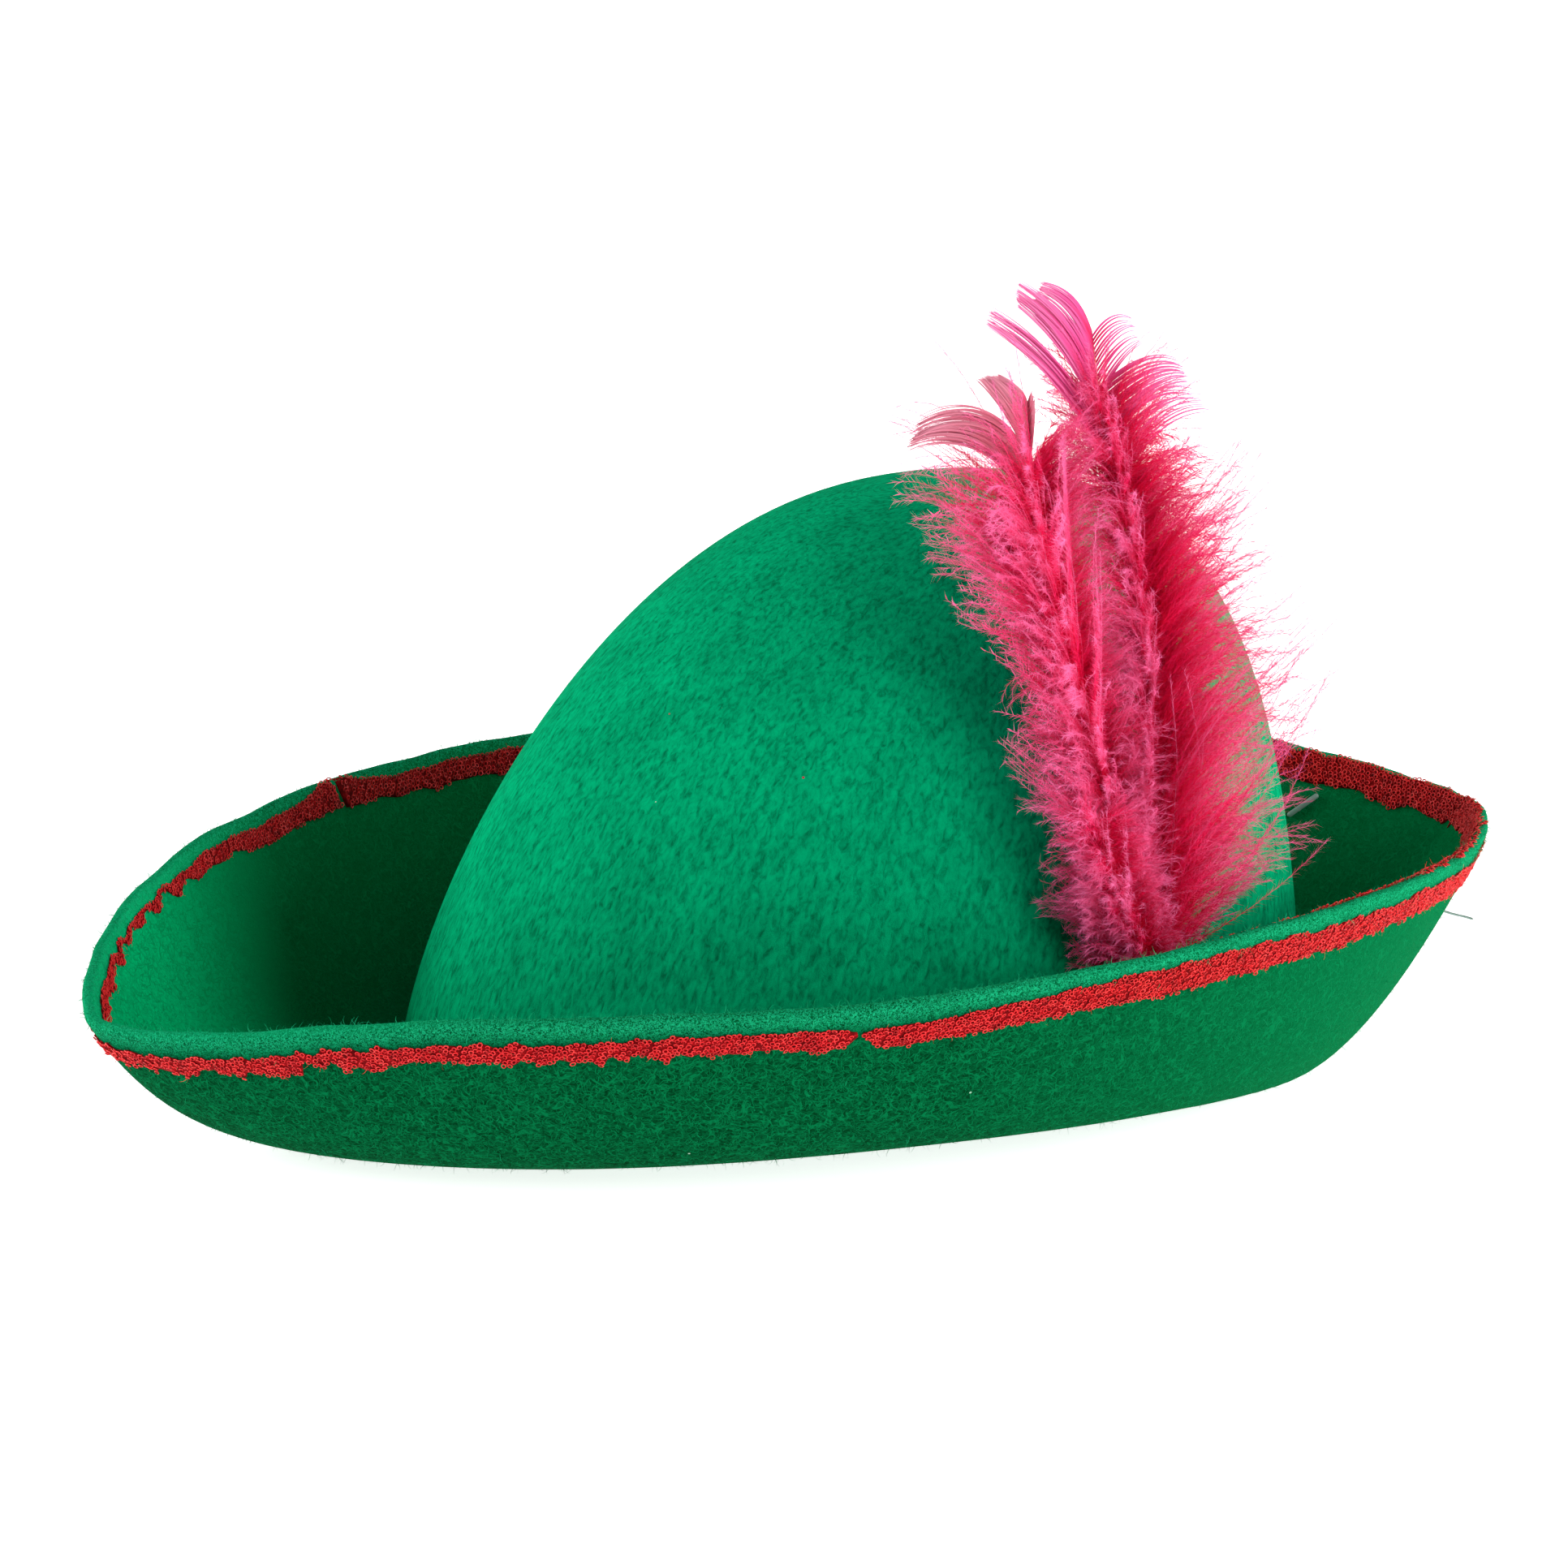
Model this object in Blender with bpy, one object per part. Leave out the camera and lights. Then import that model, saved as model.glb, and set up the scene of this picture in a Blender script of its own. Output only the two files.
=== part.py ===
"""Felt costume hat: an egg-shaped crown, a boat-shaped brim turned up all round, braid trim and a plume.

The hat stands on its underside at z = 0. +X is its back, -X its front, and -Y the wearer's left,
where the plume is tacked to the crown. An azimuth is the angle round the crown, from the back (+X)
towards the wearer's right (+Y). A depth is measured along the felt, down from the brim's edge.
"""

import math

import bmesh
import bpy
import numpy as np
from mathutils import Vector

# Felt
FELT_THICKNESS = 0.0028
AZIMUTHS = 64

# Brim edge, halfway through the felt
BRIM_HALF_LENGTH = 0.1726
BRIM_HALF_WIDTH = 0.1128
BRIM_POINTEDNESS = 1.42
BRIM_TOWARDS_FRONT = 0.052
EDGE_HEIGHT = 0.0535
EDGE_HIGHER_AT_BACK = 0.0047
EDGE_LOWER_AT_ENDS = 0.0148
EDGE_HIGHER_AT_RIGHT = 0.0035

# Crown opening, where the crown meets the brim
OPENING_HALF_LENGTH = 0.1036
OPENING_HALF_WIDTH = 0.0815
OPENING_CENTRE_X = 0.0091
UNDERSIDE_RISE_AT_SIDES = 0.0067
UNDERSIDE_FALL_TO_ENDS = 0.0090
UNDERSIDE_FALL_TO_BACK = 0.0022
CREASE_RADIUS = 0.005
# How far out from the crease the underside is level, at the front and the back
REST_RING = np.array((0.0042, 0.0120))
LEVEL_WITHIN = 0.0003

# How late the brim turns up on its way out: 1 is a straight slope
TURN_UP_SIDES = 2.17
TURN_UP_FRONT = 3.73
TURN_UP_BACK = 1.53

# Crown
CROWN_HEIGHT = 0.1304
CROWN_TIP_BACKWARD = 0.0275
CROWN_FULLNESS = 1.48
CROWN_ROUNDNESS = 0.38
CROWN_TOP_WIDER = 0.1045

# Trim
GAP = 0.0003
BRAID_THICKNESS = 0.0012
OUTER_BRAID_JOINT = math.radians(-106.0)
INNER_BRAID_JOINT = math.radians(116.0)
BAND_THICKNESS = 0.001
BAND_WIDTH = 0.028
BAND_ABOVE_CREASE = 0.004
BAND_ROWS = np.array((0.0, 0.33, 0.67, 1.0))
BAND_SEAM = math.radians(0.0)
THREAD_RADIUS = 0.0004
THREAD_ABOVE_BAND_EDGE = 0.003

# Tag pin, left in the brim
PIN_AZIMUTH = math.radians(26.0)
PIN_DEPTH = 0.0145
PIN_BAR_LENGTH = 0.0085
PIN_BAR_RADIUS = 0.00065
PIN_FILAMENT_RADIUS = 0.0003
PIN_HOLE_RADIUS = 0.0008

# Plume: it stands in the gutter beside the crown, on a plane that leans with the crown
PLUME_BASE = Vector((0.0345, -0.0847, 0.022))
PLUME_TURN = math.radians(5.0)
PLUME_LEAN = math.radians(7.0)
WRAP_HOLE_RADIUS = 0.0026
WRAP_RADIUS = 0.0033
WRAP_BELOW = 0.004
WRAP_ABOVE = 0.005
TACK_THREAD_RADIUS = 0.00035
TACK_RADIUS = 0.00395
VANE_GAP = 0.00035

GREEN = (0.005, 0.25, 0.13)
RED = (0.60, 0.02, 0.03)
PINK = (0.80, 0.02, 0.12)
QUILL_ORANGE = (0.75, 0.12, 0.06)
BAND_COLOUR = (0.02, 0.02, 0.02)
THREAD_COLOUR = (0.03, 0.10, 0.06)
NYLON = (0.30, 0.45, 0.42)


# ---------------------------------------------------------------- helpers


def clear_scene():
    for obj in list(bpy.data.objects):
        bpy.data.objects.remove(obj, do_unlink=True)


def principled(name, colour, roughness):
    material = bpy.data.materials.new(name)
    material.use_nodes = True
    shader = material.node_tree.nodes["Principled BSDF"]
    shader.inputs["Base Color"].default_value = (*colour, 1.0)
    shader.inputs["Roughness"].default_value = roughness
    shader.inputs["Metallic"].default_value = 0.0
    return material


def add_piece(name, points, faces, material, origin=(0.0, 0.0, 0.0)):
    """One closed solid, with its object's origin where it is asked for."""
    mesh = bpy.data.meshes.new(name)
    offset = Vector(origin)
    mesh.from_pydata([Vector(p) - offset for p in points], [], faces)
    shell = bmesh.new()
    shell.from_mesh(mesh)
    bmesh.ops.recalc_face_normals(shell, faces=shell.faces)
    shell.to_mesh(mesh)
    shell.free()
    mesh.materials.append(material)
    mesh.shade_smooth()
    mesh.set_sharp_from_angle(angle=math.radians(40))
    obj = bpy.data.objects.new(name, mesh)
    obj.location = offset
    bpy.context.scene.collection.objects.link(obj)
    return obj


def ring_faces(rings, points_per_ring, wraps):
    """Quads that join each ring of points to the next one; wraps joins the last ring to the first."""
    faces = []
    for i in range(rings if wraps else rings - 1):
        after = (i + 1) % rings
        for j in range(points_per_ring):
            beside = (j + 1) % points_per_ring
            faces.append((
                i * points_per_ring + j,
                i * points_per_ring + beside,
                after * points_per_ring + beside,
                after * points_per_ring + j,
            ))
    return faces


def lofted(name, sections, material, closed_loop=False, origin=(0.0, 0.0, 0.0)):
    """A solid through cross-sections with equal point counts: a closed loop, or with a flat cap at each end."""
    sections = np.asarray(sections, float)
    rings, points_per_ring = sections.shape[:2]
    faces = ring_faces(rings, points_per_ring, closed_loop)
    if not closed_loop:
        faces.append(tuple(reversed(range(points_per_ring))))
        faces.append(tuple((rings - 1) * points_per_ring + j for j in range(points_per_ring)))
    return add_piece(name, sections.reshape(-1, 3), faces, material, origin)


def unit(vectors):
    return vectors / np.linalg.norm(vectors, axis=-1, keepdims=True)


def smooth_path(points, count):
    """Points at equal steps along a Catmull-Rom curve through the given points."""
    given = np.asarray(points, float)
    ends = np.vstack([2 * given[0] - given[1], given, 2 * given[-1] - given[-2]])
    curve = []
    for before, start, end, after in zip(ends[:-3], ends[1:-2], ends[2:-1], ends[3:]):
        for t in np.linspace(0.0, 1.0, 12, endpoint=False):
            curve.append(0.5 * (
                2 * start
                + (end - before) * t
                + (2 * before - 5 * start + 4 * end - after) * t**2
                + (3 * start - before - 3 * end + after) * t**3
            ))
    curve.append(given[-1])
    return even_steps(np.array(curve), count)


def even_steps(curve, count):
    travelled = np.concatenate([[0.0], np.cumsum(np.linalg.norm(np.diff(curve, axis=0), axis=1))])
    return at_distances(curve, travelled, np.linspace(0.0, travelled[-1], count))


def at_distances(curve, travelled, distances):
    return np.stack([np.interp(distances, travelled, curve[:, k]) for k in range(3)], axis=1)


def tube(name, path, radii, sides, material, origin=(0.0, 0.0, 0.0), closed_loop=False):
    """A round bar along a path."""
    path = np.asarray(path, float)
    radii = np.broadcast_to(radii, len(path))
    if closed_loop:
        along = unit(np.roll(path, -1, axis=0) - np.roll(path, 1, axis=0))
    else:
        along = unit(np.gradient(path, axis=0))
    reference = np.array((0.0, 0.0, 1.0)) if closed_loop else np.array((0.31, 0.95, 0.05))
    across = unit(np.cross(along, reference))
    other = np.cross(along, across)
    turns = np.linspace(0.0, 2 * math.pi, sides, endpoint=False)
    sections = (
        path[:, None]
        + radii[:, None, None] * np.cos(turns)[None, :, None] * across[:, None]
        + radii[:, None, None] * np.sin(turns)[None, :, None] * other[:, None]
    )
    return lofted(name, sections, material, closed_loop, origin)


# ---------------------------------------------------------------- the felt's middle surface


def edge_point(azimuth):
    """A point on the brim's edge."""
    c = math.cos(azimuth)
    s = math.sin(azimuth)
    width = BRIM_HALF_WIDTH * (1 - BRIM_TOWARDS_FRONT * c - 0.02 * c * c)
    height = (
        EDGE_HEIGHT
        + EDGE_HIGHER_AT_BACK * c
        - EDGE_LOWER_AT_ENDS * c**4
        + EDGE_HIGHER_AT_RIGHT * s
    )
    across = math.copysign(abs(s) ** BRIM_POINTEDNESS, s) * width
    return np.array((BRIM_HALF_LENGTH * c, across, height))


def crease_point(azimuth):
    """A point where the crown meets the brim, in the underside's surface."""
    c = math.cos(azimuth)
    rise = UNDERSIDE_RISE_AT_SIDES - UNDERSIDE_FALL_TO_ENDS * c * c - UNDERSIDE_FALL_TO_BACK * c
    return np.array((
        OPENING_CENTRE_X + OPENING_HALF_LENGTH * c,
        OPENING_HALF_WIDTH * math.sin(azimuth),
        rise,
    ))


def brim_points(azimuth, outward):
    """The brim from the crease (0) to its edge (1): flat at first, then turning up."""
    c = math.cos(azimuth)
    crease = crease_point(azimuth)
    edge = edge_point(azimuth)
    end_turn_up = TURN_UP_BACK if c > 0 else TURN_UP_FRONT
    turn_up = TURN_UP_SIDES * (1 - c * c) + end_turn_up * c * c
    points = crease + (edge - crease) * outward[:, None]
    points[:, 2] = crease[2] + (edge[2] - crease[2]) * outward**turn_up
    points[:, 2] = np.maximum(points[:, 2], 0.0) + FELT_THICKNESS / 2
    return points


def crown_points(azimuth, spread):
    """The crown from its top (0) down to the crease (1)."""
    crease = crease_point(azimuth)
    height = (1 - spread ** (1 / CROWN_ROUNDNESS)) ** (1 / CROWN_FULLNESS)
    along = OPENING_HALF_LENGTH * spread * math.cos(azimuth)
    across = OPENING_HALF_WIDTH * spread * (1 + CROWN_TOP_WIDER * height) * math.sin(azimuth)
    base = max(crease[2], 0.0) + FELT_THICKNESS / 2
    return np.stack([
        OPENING_CENTRE_X + CROWN_TIP_BACKWARD * height**1.5 + along,
        across,
        base + (CROWN_HEIGHT - base) * height,
    ], axis=1)


def felt_profile(azimuth):
    """The middle of the felt from the crown's top to the brim's edge, with the crease rounded."""
    crown = crown_points(azimuth, np.sin(np.linspace(0.0, math.pi / 2, 60)))
    brim = brim_points(azimuth, np.linspace(0.0, 1.0, 90))
    corner = crown[-1]
    crown = crown[np.linalg.norm(crown - corner, axis=1) > CREASE_RADIUS]
    brim = brim[np.linalg.norm(brim - corner, axis=1) > CREASE_RADIUS]
    t = np.linspace(0.0, 1.0, 9)[1:-1, None]
    bend = crown[-1] * (1 - t) ** 2 + 2 * corner * t * (1 - t) + brim[0] * t**2
    return np.vstack([crown, bend, brim]), len(crown)


def profile_lengths(azimuth):
    """The profile, the distance travelled along it, and that distance at the crease."""
    curve, crown_count = felt_profile(azimuth)
    travelled = np.concatenate([[0.0], np.cumsum(np.linalg.norm(np.diff(curve, axis=0), axis=1))])
    return curve, travelled, travelled[crown_count + 3]


def felt_points(azimuths, place):
    """Points and upward normals of the felt's middle; place gives distances from the crown's top."""
    points = []
    down_the_felt = []
    step = 0.0004
    for azimuth in azimuths:
        curve, travelled, crease = profile_lengths(azimuth)
        distances = place(azimuth, crease, travelled[-1])
        points.append(at_distances(curve, travelled, distances))
        before = at_distances(curve, travelled, np.maximum(distances - step, 0.0))
        after = at_distances(curve, travelled, np.minimum(distances + step, travelled[-1]))
        down_the_felt.append(after - before)
    points = np.array(points)
    if len(azimuths) == 1:
        return points, unit(np.array(down_the_felt))
    round_the_hat = np.empty_like(points)
    for i in range(len(azimuths)):
        before = points[i - 1]
        after = points[(i + 1) % len(azimuths)]
        round_the_hat[i] = after - before
    return points, unit(np.cross(np.array(down_the_felt), round_the_hat))


def all_round(count=AZIMUTHS):
    return np.linspace(0.0, 2 * math.pi, count, endpoint=False)


def strip_azimuths(joint):
    """The felt's own azimuths from one side of a joint round to the other, with both ends near the joint."""
    opening = math.radians(0.25)
    step = 2 * math.pi / AZIMUTHS
    first = math.ceil((joint + opening * 2) / step)
    last = math.floor((joint + 2 * math.pi - opening * 2) / step)
    whole = [k * step for k in range(first, last + 1)]
    return np.array([joint + opening, *whole, joint + 2 * math.pi - opening])


# ---------------------------------------------------------------- felt and trim


def felt_rows(azimuth, crease, end):
    band = crease - BAND_ABOVE_CREASE - BAND_WIDTH * BAND_ROWS[::-1]
    crown = np.concatenate([band[0] * np.array((0.12, 0.32, 0.54, 0.78)), band, [crease - 0.0015]])
    lip = FELT_THICKNESS / 2
    near_edge = end - np.array((0.012, 0.0085, 0.005, lip, 0.3 * lip))
    turn_up = crease + (near_edge[0] - crease) * np.array((0.42, 0.62, 0.82))
    return np.concatenate([crown, crease + REST_RING, turn_up, near_edge, [end]])


def make_felt_body(material, pin_hole):
    """The crown and brim, blocked from one piece of felt with a rounded edge."""
    middle, normals = felt_points(all_round(), felt_rows)
    half = np.full(middle.shape[1], FELT_THICKNESS / 2)
    half[-2] *= math.sqrt(1 - 0.7**2)
    upper = middle + normals * half[None, :, None]
    lower = middle - normals * half[None, :, None]
    lower[:, :, 2] = np.where(lower[:, :, 2] < LEVEL_WITHIN, 0.0, lower[:, :, 2])
    rows = [upper[:, k] for k in range(upper.shape[1] - 1)]
    rows.append(middle[:, -1])
    rows += [lower[:, k] for k in reversed(range(lower.shape[1] - 1))]
    points = np.concatenate(rows)
    faces = ring_faces(len(rows), AZIMUTHS, False)
    top = np.array((OPENING_CENTRE_X + CROWN_TIP_BACKWARD, 0.0, CROWN_HEIGHT))
    lift = np.array((0.0, 0.0, FELT_THICKNESS / 2))
    points = np.vstack([points, top + lift, top - lift])
    last_row = (len(rows) - 1) * AZIMUTHS
    for j in range(AZIMUTHS):
        beside = (j + 1) % AZIMUTHS
        faces.append((len(points) - 2, beside, j))
        faces.append((len(points) - 1, last_row + j, last_row + beside))
    body = add_piece("felt_body", points, faces, material)
    cut = body.modifiers.new("tag_pin_hole", "BOOLEAN")
    cut.operation = "DIFFERENCE"
    cut.object = pin_hole
    return body


def make_strip(name, azimuths, place, inner, outer, material):
    """A flat strip that follows the felt, between two heights above the felt's middle surface."""
    middle, normals = felt_points(azimuths, place)
    normals[0] = normals[1]
    normals[-1] = normals[-2]
    near = middle + normals * inner
    far = middle + normals * outer
    return lofted(name, np.concatenate([near, far[:, ::-1]], axis=1), material)


def outer_braid_rows(azimuth, crease, end):
    c = math.cos(azimuth)
    top = 0.0042 - 0.0012 * c
    width = 0.0058 + 0.0006 * c
    return end - top - width * np.array((0.0, 0.5, 1.0))


def inner_braid_rows(azimuth, crease, end):
    c = math.cos(azimuth)
    top = 0.0026 - 0.0010 * c
    width = 0.0062 + 0.0018 * c
    return end - top - width * np.array((0.0, 0.5, 1.0))


def band_rows(azimuth, crease, end):
    return crease - BAND_ABOVE_CREASE - BAND_WIDTH * BAND_ROWS


def thread_rows(azimuth, crease, end):
    return np.array((crease - BAND_ABOVE_CREASE - THREAD_ABOVE_BAND_EDGE,))


def make_trim(materials):
    """Both braids, the sweatband inside the crown, and the line of thread that holds the band."""
    face = FELT_THICKNESS / 2 + GAP
    make_strip(
        "outer_braid",
        strip_azimuths(OUTER_BRAID_JOINT),
        outer_braid_rows,
        -face - BRAID_THICKNESS,
        -face,
        materials["braid"],
    )
    make_strip(
        "inner_braid",
        strip_azimuths(INNER_BRAID_JOINT),
        inner_braid_rows,
        face,
        face + BRAID_THICKNESS,
        materials["braid"],
    )
    make_strip(
        "sweatband",
        strip_azimuths(BAND_SEAM),
        band_rows,
        -face - BAND_THICKNESS,
        -face,
        materials["band"],
    )
    middle, normals = felt_points(all_round(), thread_rows)
    depth = face + BAND_THICKNESS + GAP + THREAD_RADIUS
    path = (middle - normals * depth)[:, 0]
    tube("sweatband_thread", path, THREAD_RADIUS, 6, materials["thread"], closed_loop=True)


# ---------------------------------------------------------------- tag pin


def pin_frame():
    """The pin's place in the felt's middle, its way out through the felt, and its bar's direction."""
    azimuths = PIN_AZIMUTH + np.array((-0.02, 0.0, 0.02))
    middle, normals = felt_points(azimuths, lambda azimuth, crease, end: np.array((end - PIN_DEPTH,)))
    outward = -normals[1, 0]
    back_and_up = np.array((0.702, -0.386, 0.597))
    bar = unit(back_and_up - outward * (back_and_up @ outward))
    return middle[1, 0], outward, bar


def make_pin_hole():
    """Cuts the needle's hole through the brim."""
    centre, outward, _ = pin_frame()
    reach = FELT_THICKNESS * 1.5
    path = [centre - outward * reach, centre + outward * reach]
    hole = tube("tag_pin_hole_cutter", path, PIN_HOLE_RADIUS, 10, None)
    hole.hide_render = True
    hole.display_type = "WIRE"
    return hole


def make_tag_pin(material):
    """One nylon moulding: a bar on the inner face, and a filament out through the felt to a cut end."""
    centre, outward, bar = pin_frame()
    inner_face = FELT_THICKNESS / 2 + GAP + PIN_BAR_RADIUS
    middle = centre - outward * inner_face
    half = bar * PIN_BAR_LENGTH / 2
    rod = tube("tag_pin", [middle - half, middle + half], PIN_BAR_RADIUS, 8, material, middle)
    straight = centre + outward * 0.006
    route = [
        middle,
        centre,
        straight,
        (0.1640, 0.0440, 0.0345),
        (0.1715, 0.0335, 0.0230),
        (0.1728, 0.0180, 0.0150),
        (0.1732, 0.0000, 0.0153),
    ]
    path = np.vstack([np.array(route[:2]), smooth_path(route[2:], 22)])
    filament = tube("tag_pin_filament", path, PIN_FILAMENT_RADIUS, 6, material)
    joined = rod.modifiers.new("filament", "BOOLEAN")
    joined.operation = "UNION"
    joined.object = filament
    filament.hide_render = True
    filament.display_type = "WIRE"


# ---------------------------------------------------------------- plume


def plume_axes():
    """Along the crown, out from the crown and up the plume."""
    across = np.array((math.cos(PLUME_TURN), math.sin(PLUME_TURN), 0.0))
    level_out = np.array((math.sin(PLUME_TURN), -math.cos(PLUME_TURN), 0.0))
    straight_up = np.array((0.0, 0.0, 1.0))
    up = straight_up * math.cos(PLUME_LEAN) - level_out * math.sin(PLUME_LEAN)
    out = level_out * math.cos(PLUME_LEAN) + straight_up * math.sin(PLUME_LEAN)
    return across, out, up


def on_plume(across, out, up):
    """A point of the plume from its distances across, out and up, in millimetres."""
    axes = plume_axes()
    return np.array(PLUME_BASE) + (across * axes[0] + out * axes[1] + up * axes[2]) / 1000


# Each feather: its quill's radius at the root, its line (across, out, up), and for each side the
# reach of its barbs at heights up the plume. All in millimetres.
FEATHERS = {
    "left_feather": {
        "radius": 0.9,
        "line": [
            (-1.3, 0, -7), (-1.3, 0, 7), (-3.4, 1, 19), (-4.2, 2, 33), (-7, 2, 54),
            (-12.7, 1, 79), (-18.4, 0, 105), (-19.9, 0, 128), (-20.2, 0, 143),
        ],
        "left": [(20, 9), (32, 17), (50, 17), (80, 19), (97, 22), (110, 28), (128, 31), (138, 25)],
        "right": [(32, 2.3), (54, 4.8), (72, 7.8), (91, 10), (113, 10.4), (134, 8.4), (140, 6)],
    },
    "tall_feather": {
        "radius": 1.0,
        "line": [
            (1.3, 0, -7), (1.3, 0, 7), (1.8, 1, 19), (3, 2, 42), (6.3, 1, 72),
            (6.5, 0, 91), (3.7, 0, 113), (-1, 0, 134), (-2.8, 0, 150), (-5.2, 0, 162),
        ],
        "left": [
            (32, 2.1), (54, 4.6), (72, 7.6), (91, 9.8), (113, 10.2), (134, 8), (146, 8),
            (152, 19), (158, 25),
        ],
        "right": [(19, 8), (28, 27), (45, 37), (75, 36), (105, 29), (135, 19), (148, 15), (158, 8)],
    },
    "short_feather": {
        "radius": 0.6,
        "line": [
            (0, 1.7, -6), (0, 1.7, 7), (-1.5, 5, 15), (-5, 8.6, 24), (-11, 9.4, 36), (-16.5, 9.4, 50),
        ],
        "left": [(22, 6), (32, 10), (42, 9), (48, 5)],
        "right": [(22, 6), (32, 10), (42, 9), (48, 5)],
    },
}


def quill_at(line, up):
    """Where a quill stands across and out at heights up the plume."""
    heights = [point[2] for point in line]
    across = np.interp(up, heights, [point[0] for point in line])
    out = np.interp(up, heights, [point[1] for point in line])
    return across, out


def make_quill(name, radius, line, material):
    path = smooth_path([on_plume(*point) for point in line], 22)
    taper = np.linspace(1.0, 0.35, len(path))
    tube(name + "_quill", path, radius / 1000 * taper, 8, material, origin=PLUME_BASE)


def make_vane(name, radius, line, reach, side, deepest, material):
    """The barbs on one side of a quill, as one soft solid with a thin outer edge."""
    heights = [point[0] for point in reach]
    stations = np.linspace(heights[0], heights[-1], 11)
    widths = np.interp(stations, heights, [point[1] for point in reach])
    across, out = quill_at(line, stations)
    root = radius + VANE_GAP * 1000
    sections = []
    for k, up in enumerate(stations):
        growth = min(1.0, 0.45 + (up - heights[0]) / 70)
        fade = min(1.0, 0.35 + (heights[-1] - up) / 40)
        depth = deepest * min(growth, fade)
        depth = min(depth, 3.8) if up < 56 else depth
        width = max(widths[k], root + 0.6)
        outline = (
            (root, -0.6), (root + 0.35 * (width - root), -1.0), (root + 0.8 * (width - root), -0.6),
            (width, 0.0),
            (root + 0.8 * (width - root), 0.6), (root + 0.35 * (width - root), 1.0), (root, 0.6),
        )
        sections.append([
            on_plume(across[k] + side * w, out[k] + share * depth, up) for w, share in outline
        ])
    lofted(name, sections, material, origin=PLUME_BASE)


def make_plume(materials):
    for name, feather in FEATHERS.items():
        make_quill(name, feather["radius"], feather["line"], materials["quill"])
        deepest = 3.0 if name == "short_feather" else 6.5
        for word, side in (("left", -1), ("right", 1)):
            vane = f"{name}_{word}_vane"
            radius = feather["radius"]
            line = feather["line"]
            make_vane(vane, radius, line, feather[word], side, deepest, materials["vane"])
    make_wrap(materials["wrap"])
    make_tack(materials["thread"])


def make_wrap(material):
    """The thread wound round the three quills, as one sleeve."""
    turns = np.linspace(0.0, 2 * math.pi, 16, endpoint=False)
    sections = []
    for turn in turns:
        sections.append([
            on_plume(radius * math.cos(turn), radius * math.sin(turn), up)
            for radius, up in (
                (WRAP_HOLE_RADIUS * 1000, -WRAP_BELOW * 1000),
                (WRAP_RADIUS * 1000, -WRAP_BELOW * 1000),
                (WRAP_RADIUS * 1000, WRAP_ABOVE * 1000),
                (WRAP_HOLE_RADIUS * 1000, WRAP_ABOVE * 1000),
            )
        ])
    lofted("quill_wrap", sections, material, closed_loop=True, origin=PLUME_BASE)


def make_tack(material):
    """The loop of thread that tacks the wrapped quills to the crown."""
    turns = np.linspace(0.0, 2 * math.pi, 20, endpoint=False)
    radius = TACK_RADIUS * 1000
    path = [on_plume(radius * math.cos(turn), radius * math.sin(turn), 0.0) for turn in turns]
    tube("tack_loop", path, TACK_THREAD_RADIUS, 6, material, PLUME_BASE, closed_loop=True)


def main():
    clear_scene()
    materials = {
        "felt": principled("green_felt", GREEN, 0.95),
        "braid": principled("red_knit_braid", RED, 0.8),
        "band": principled("black_woven_band", BAND_COLOUR, 0.7),
        "thread": principled("green_thread", THREAD_COLOUR, 0.6),
        "nylon": principled("clear_nylon", NYLON, 0.3),
        "quill": principled("orange_quill", QUILL_ORANGE, 0.45),
        "vane": principled("pink_barbs", PINK, 0.8),
        "wrap": principled("pink_thread", PINK, 0.6),
    }
    make_felt_body(materials["felt"], make_pin_hole())
    make_trim(materials)
    make_tag_pin(materials["nylon"])
    make_plume(materials)


main()
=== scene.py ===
"""A felt costume hat with a boat-shaped brim, knitted braid trim and a feather plume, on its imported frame.

The hat stands on its underside at z = 0. +X is its back, -X its front, and -Y the wearer's left, where
the plume is tacked to the crown. An azimuth is the angle round the crown, from the back (+X) towards the
wearer's right (+Y). A depth is measured along the felt, down from the brim's edge.
"""

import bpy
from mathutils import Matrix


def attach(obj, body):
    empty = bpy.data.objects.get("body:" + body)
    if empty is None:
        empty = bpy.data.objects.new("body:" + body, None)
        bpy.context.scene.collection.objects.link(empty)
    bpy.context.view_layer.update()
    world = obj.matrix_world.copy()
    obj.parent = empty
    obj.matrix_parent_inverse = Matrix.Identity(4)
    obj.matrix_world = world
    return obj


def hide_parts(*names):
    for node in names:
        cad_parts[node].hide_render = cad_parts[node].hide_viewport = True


bl_info = {
    "name": "Felt costume hat",
    "version": (1, 0, 0),
    "blender": (4, 5, 0),
    "location": "3D View > Sidebar > Hat",
    "description": "Felt body, knitted braid, feather plume, sweatband, threads and tag pin of a costume hat",
    "category": "Add Mesh",
}

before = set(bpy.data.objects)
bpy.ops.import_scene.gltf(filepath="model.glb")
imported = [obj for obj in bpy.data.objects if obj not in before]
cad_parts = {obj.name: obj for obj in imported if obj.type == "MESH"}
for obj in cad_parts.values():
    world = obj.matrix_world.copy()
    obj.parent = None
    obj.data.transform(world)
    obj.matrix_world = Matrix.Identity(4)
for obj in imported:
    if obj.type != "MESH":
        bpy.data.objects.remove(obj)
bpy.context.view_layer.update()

import math

import bmesh
import bpy
import numpy as np
from mathutils import Vector

# ---------------------------------------------------------------- sizes of the felt, as cut and blocked

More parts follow.
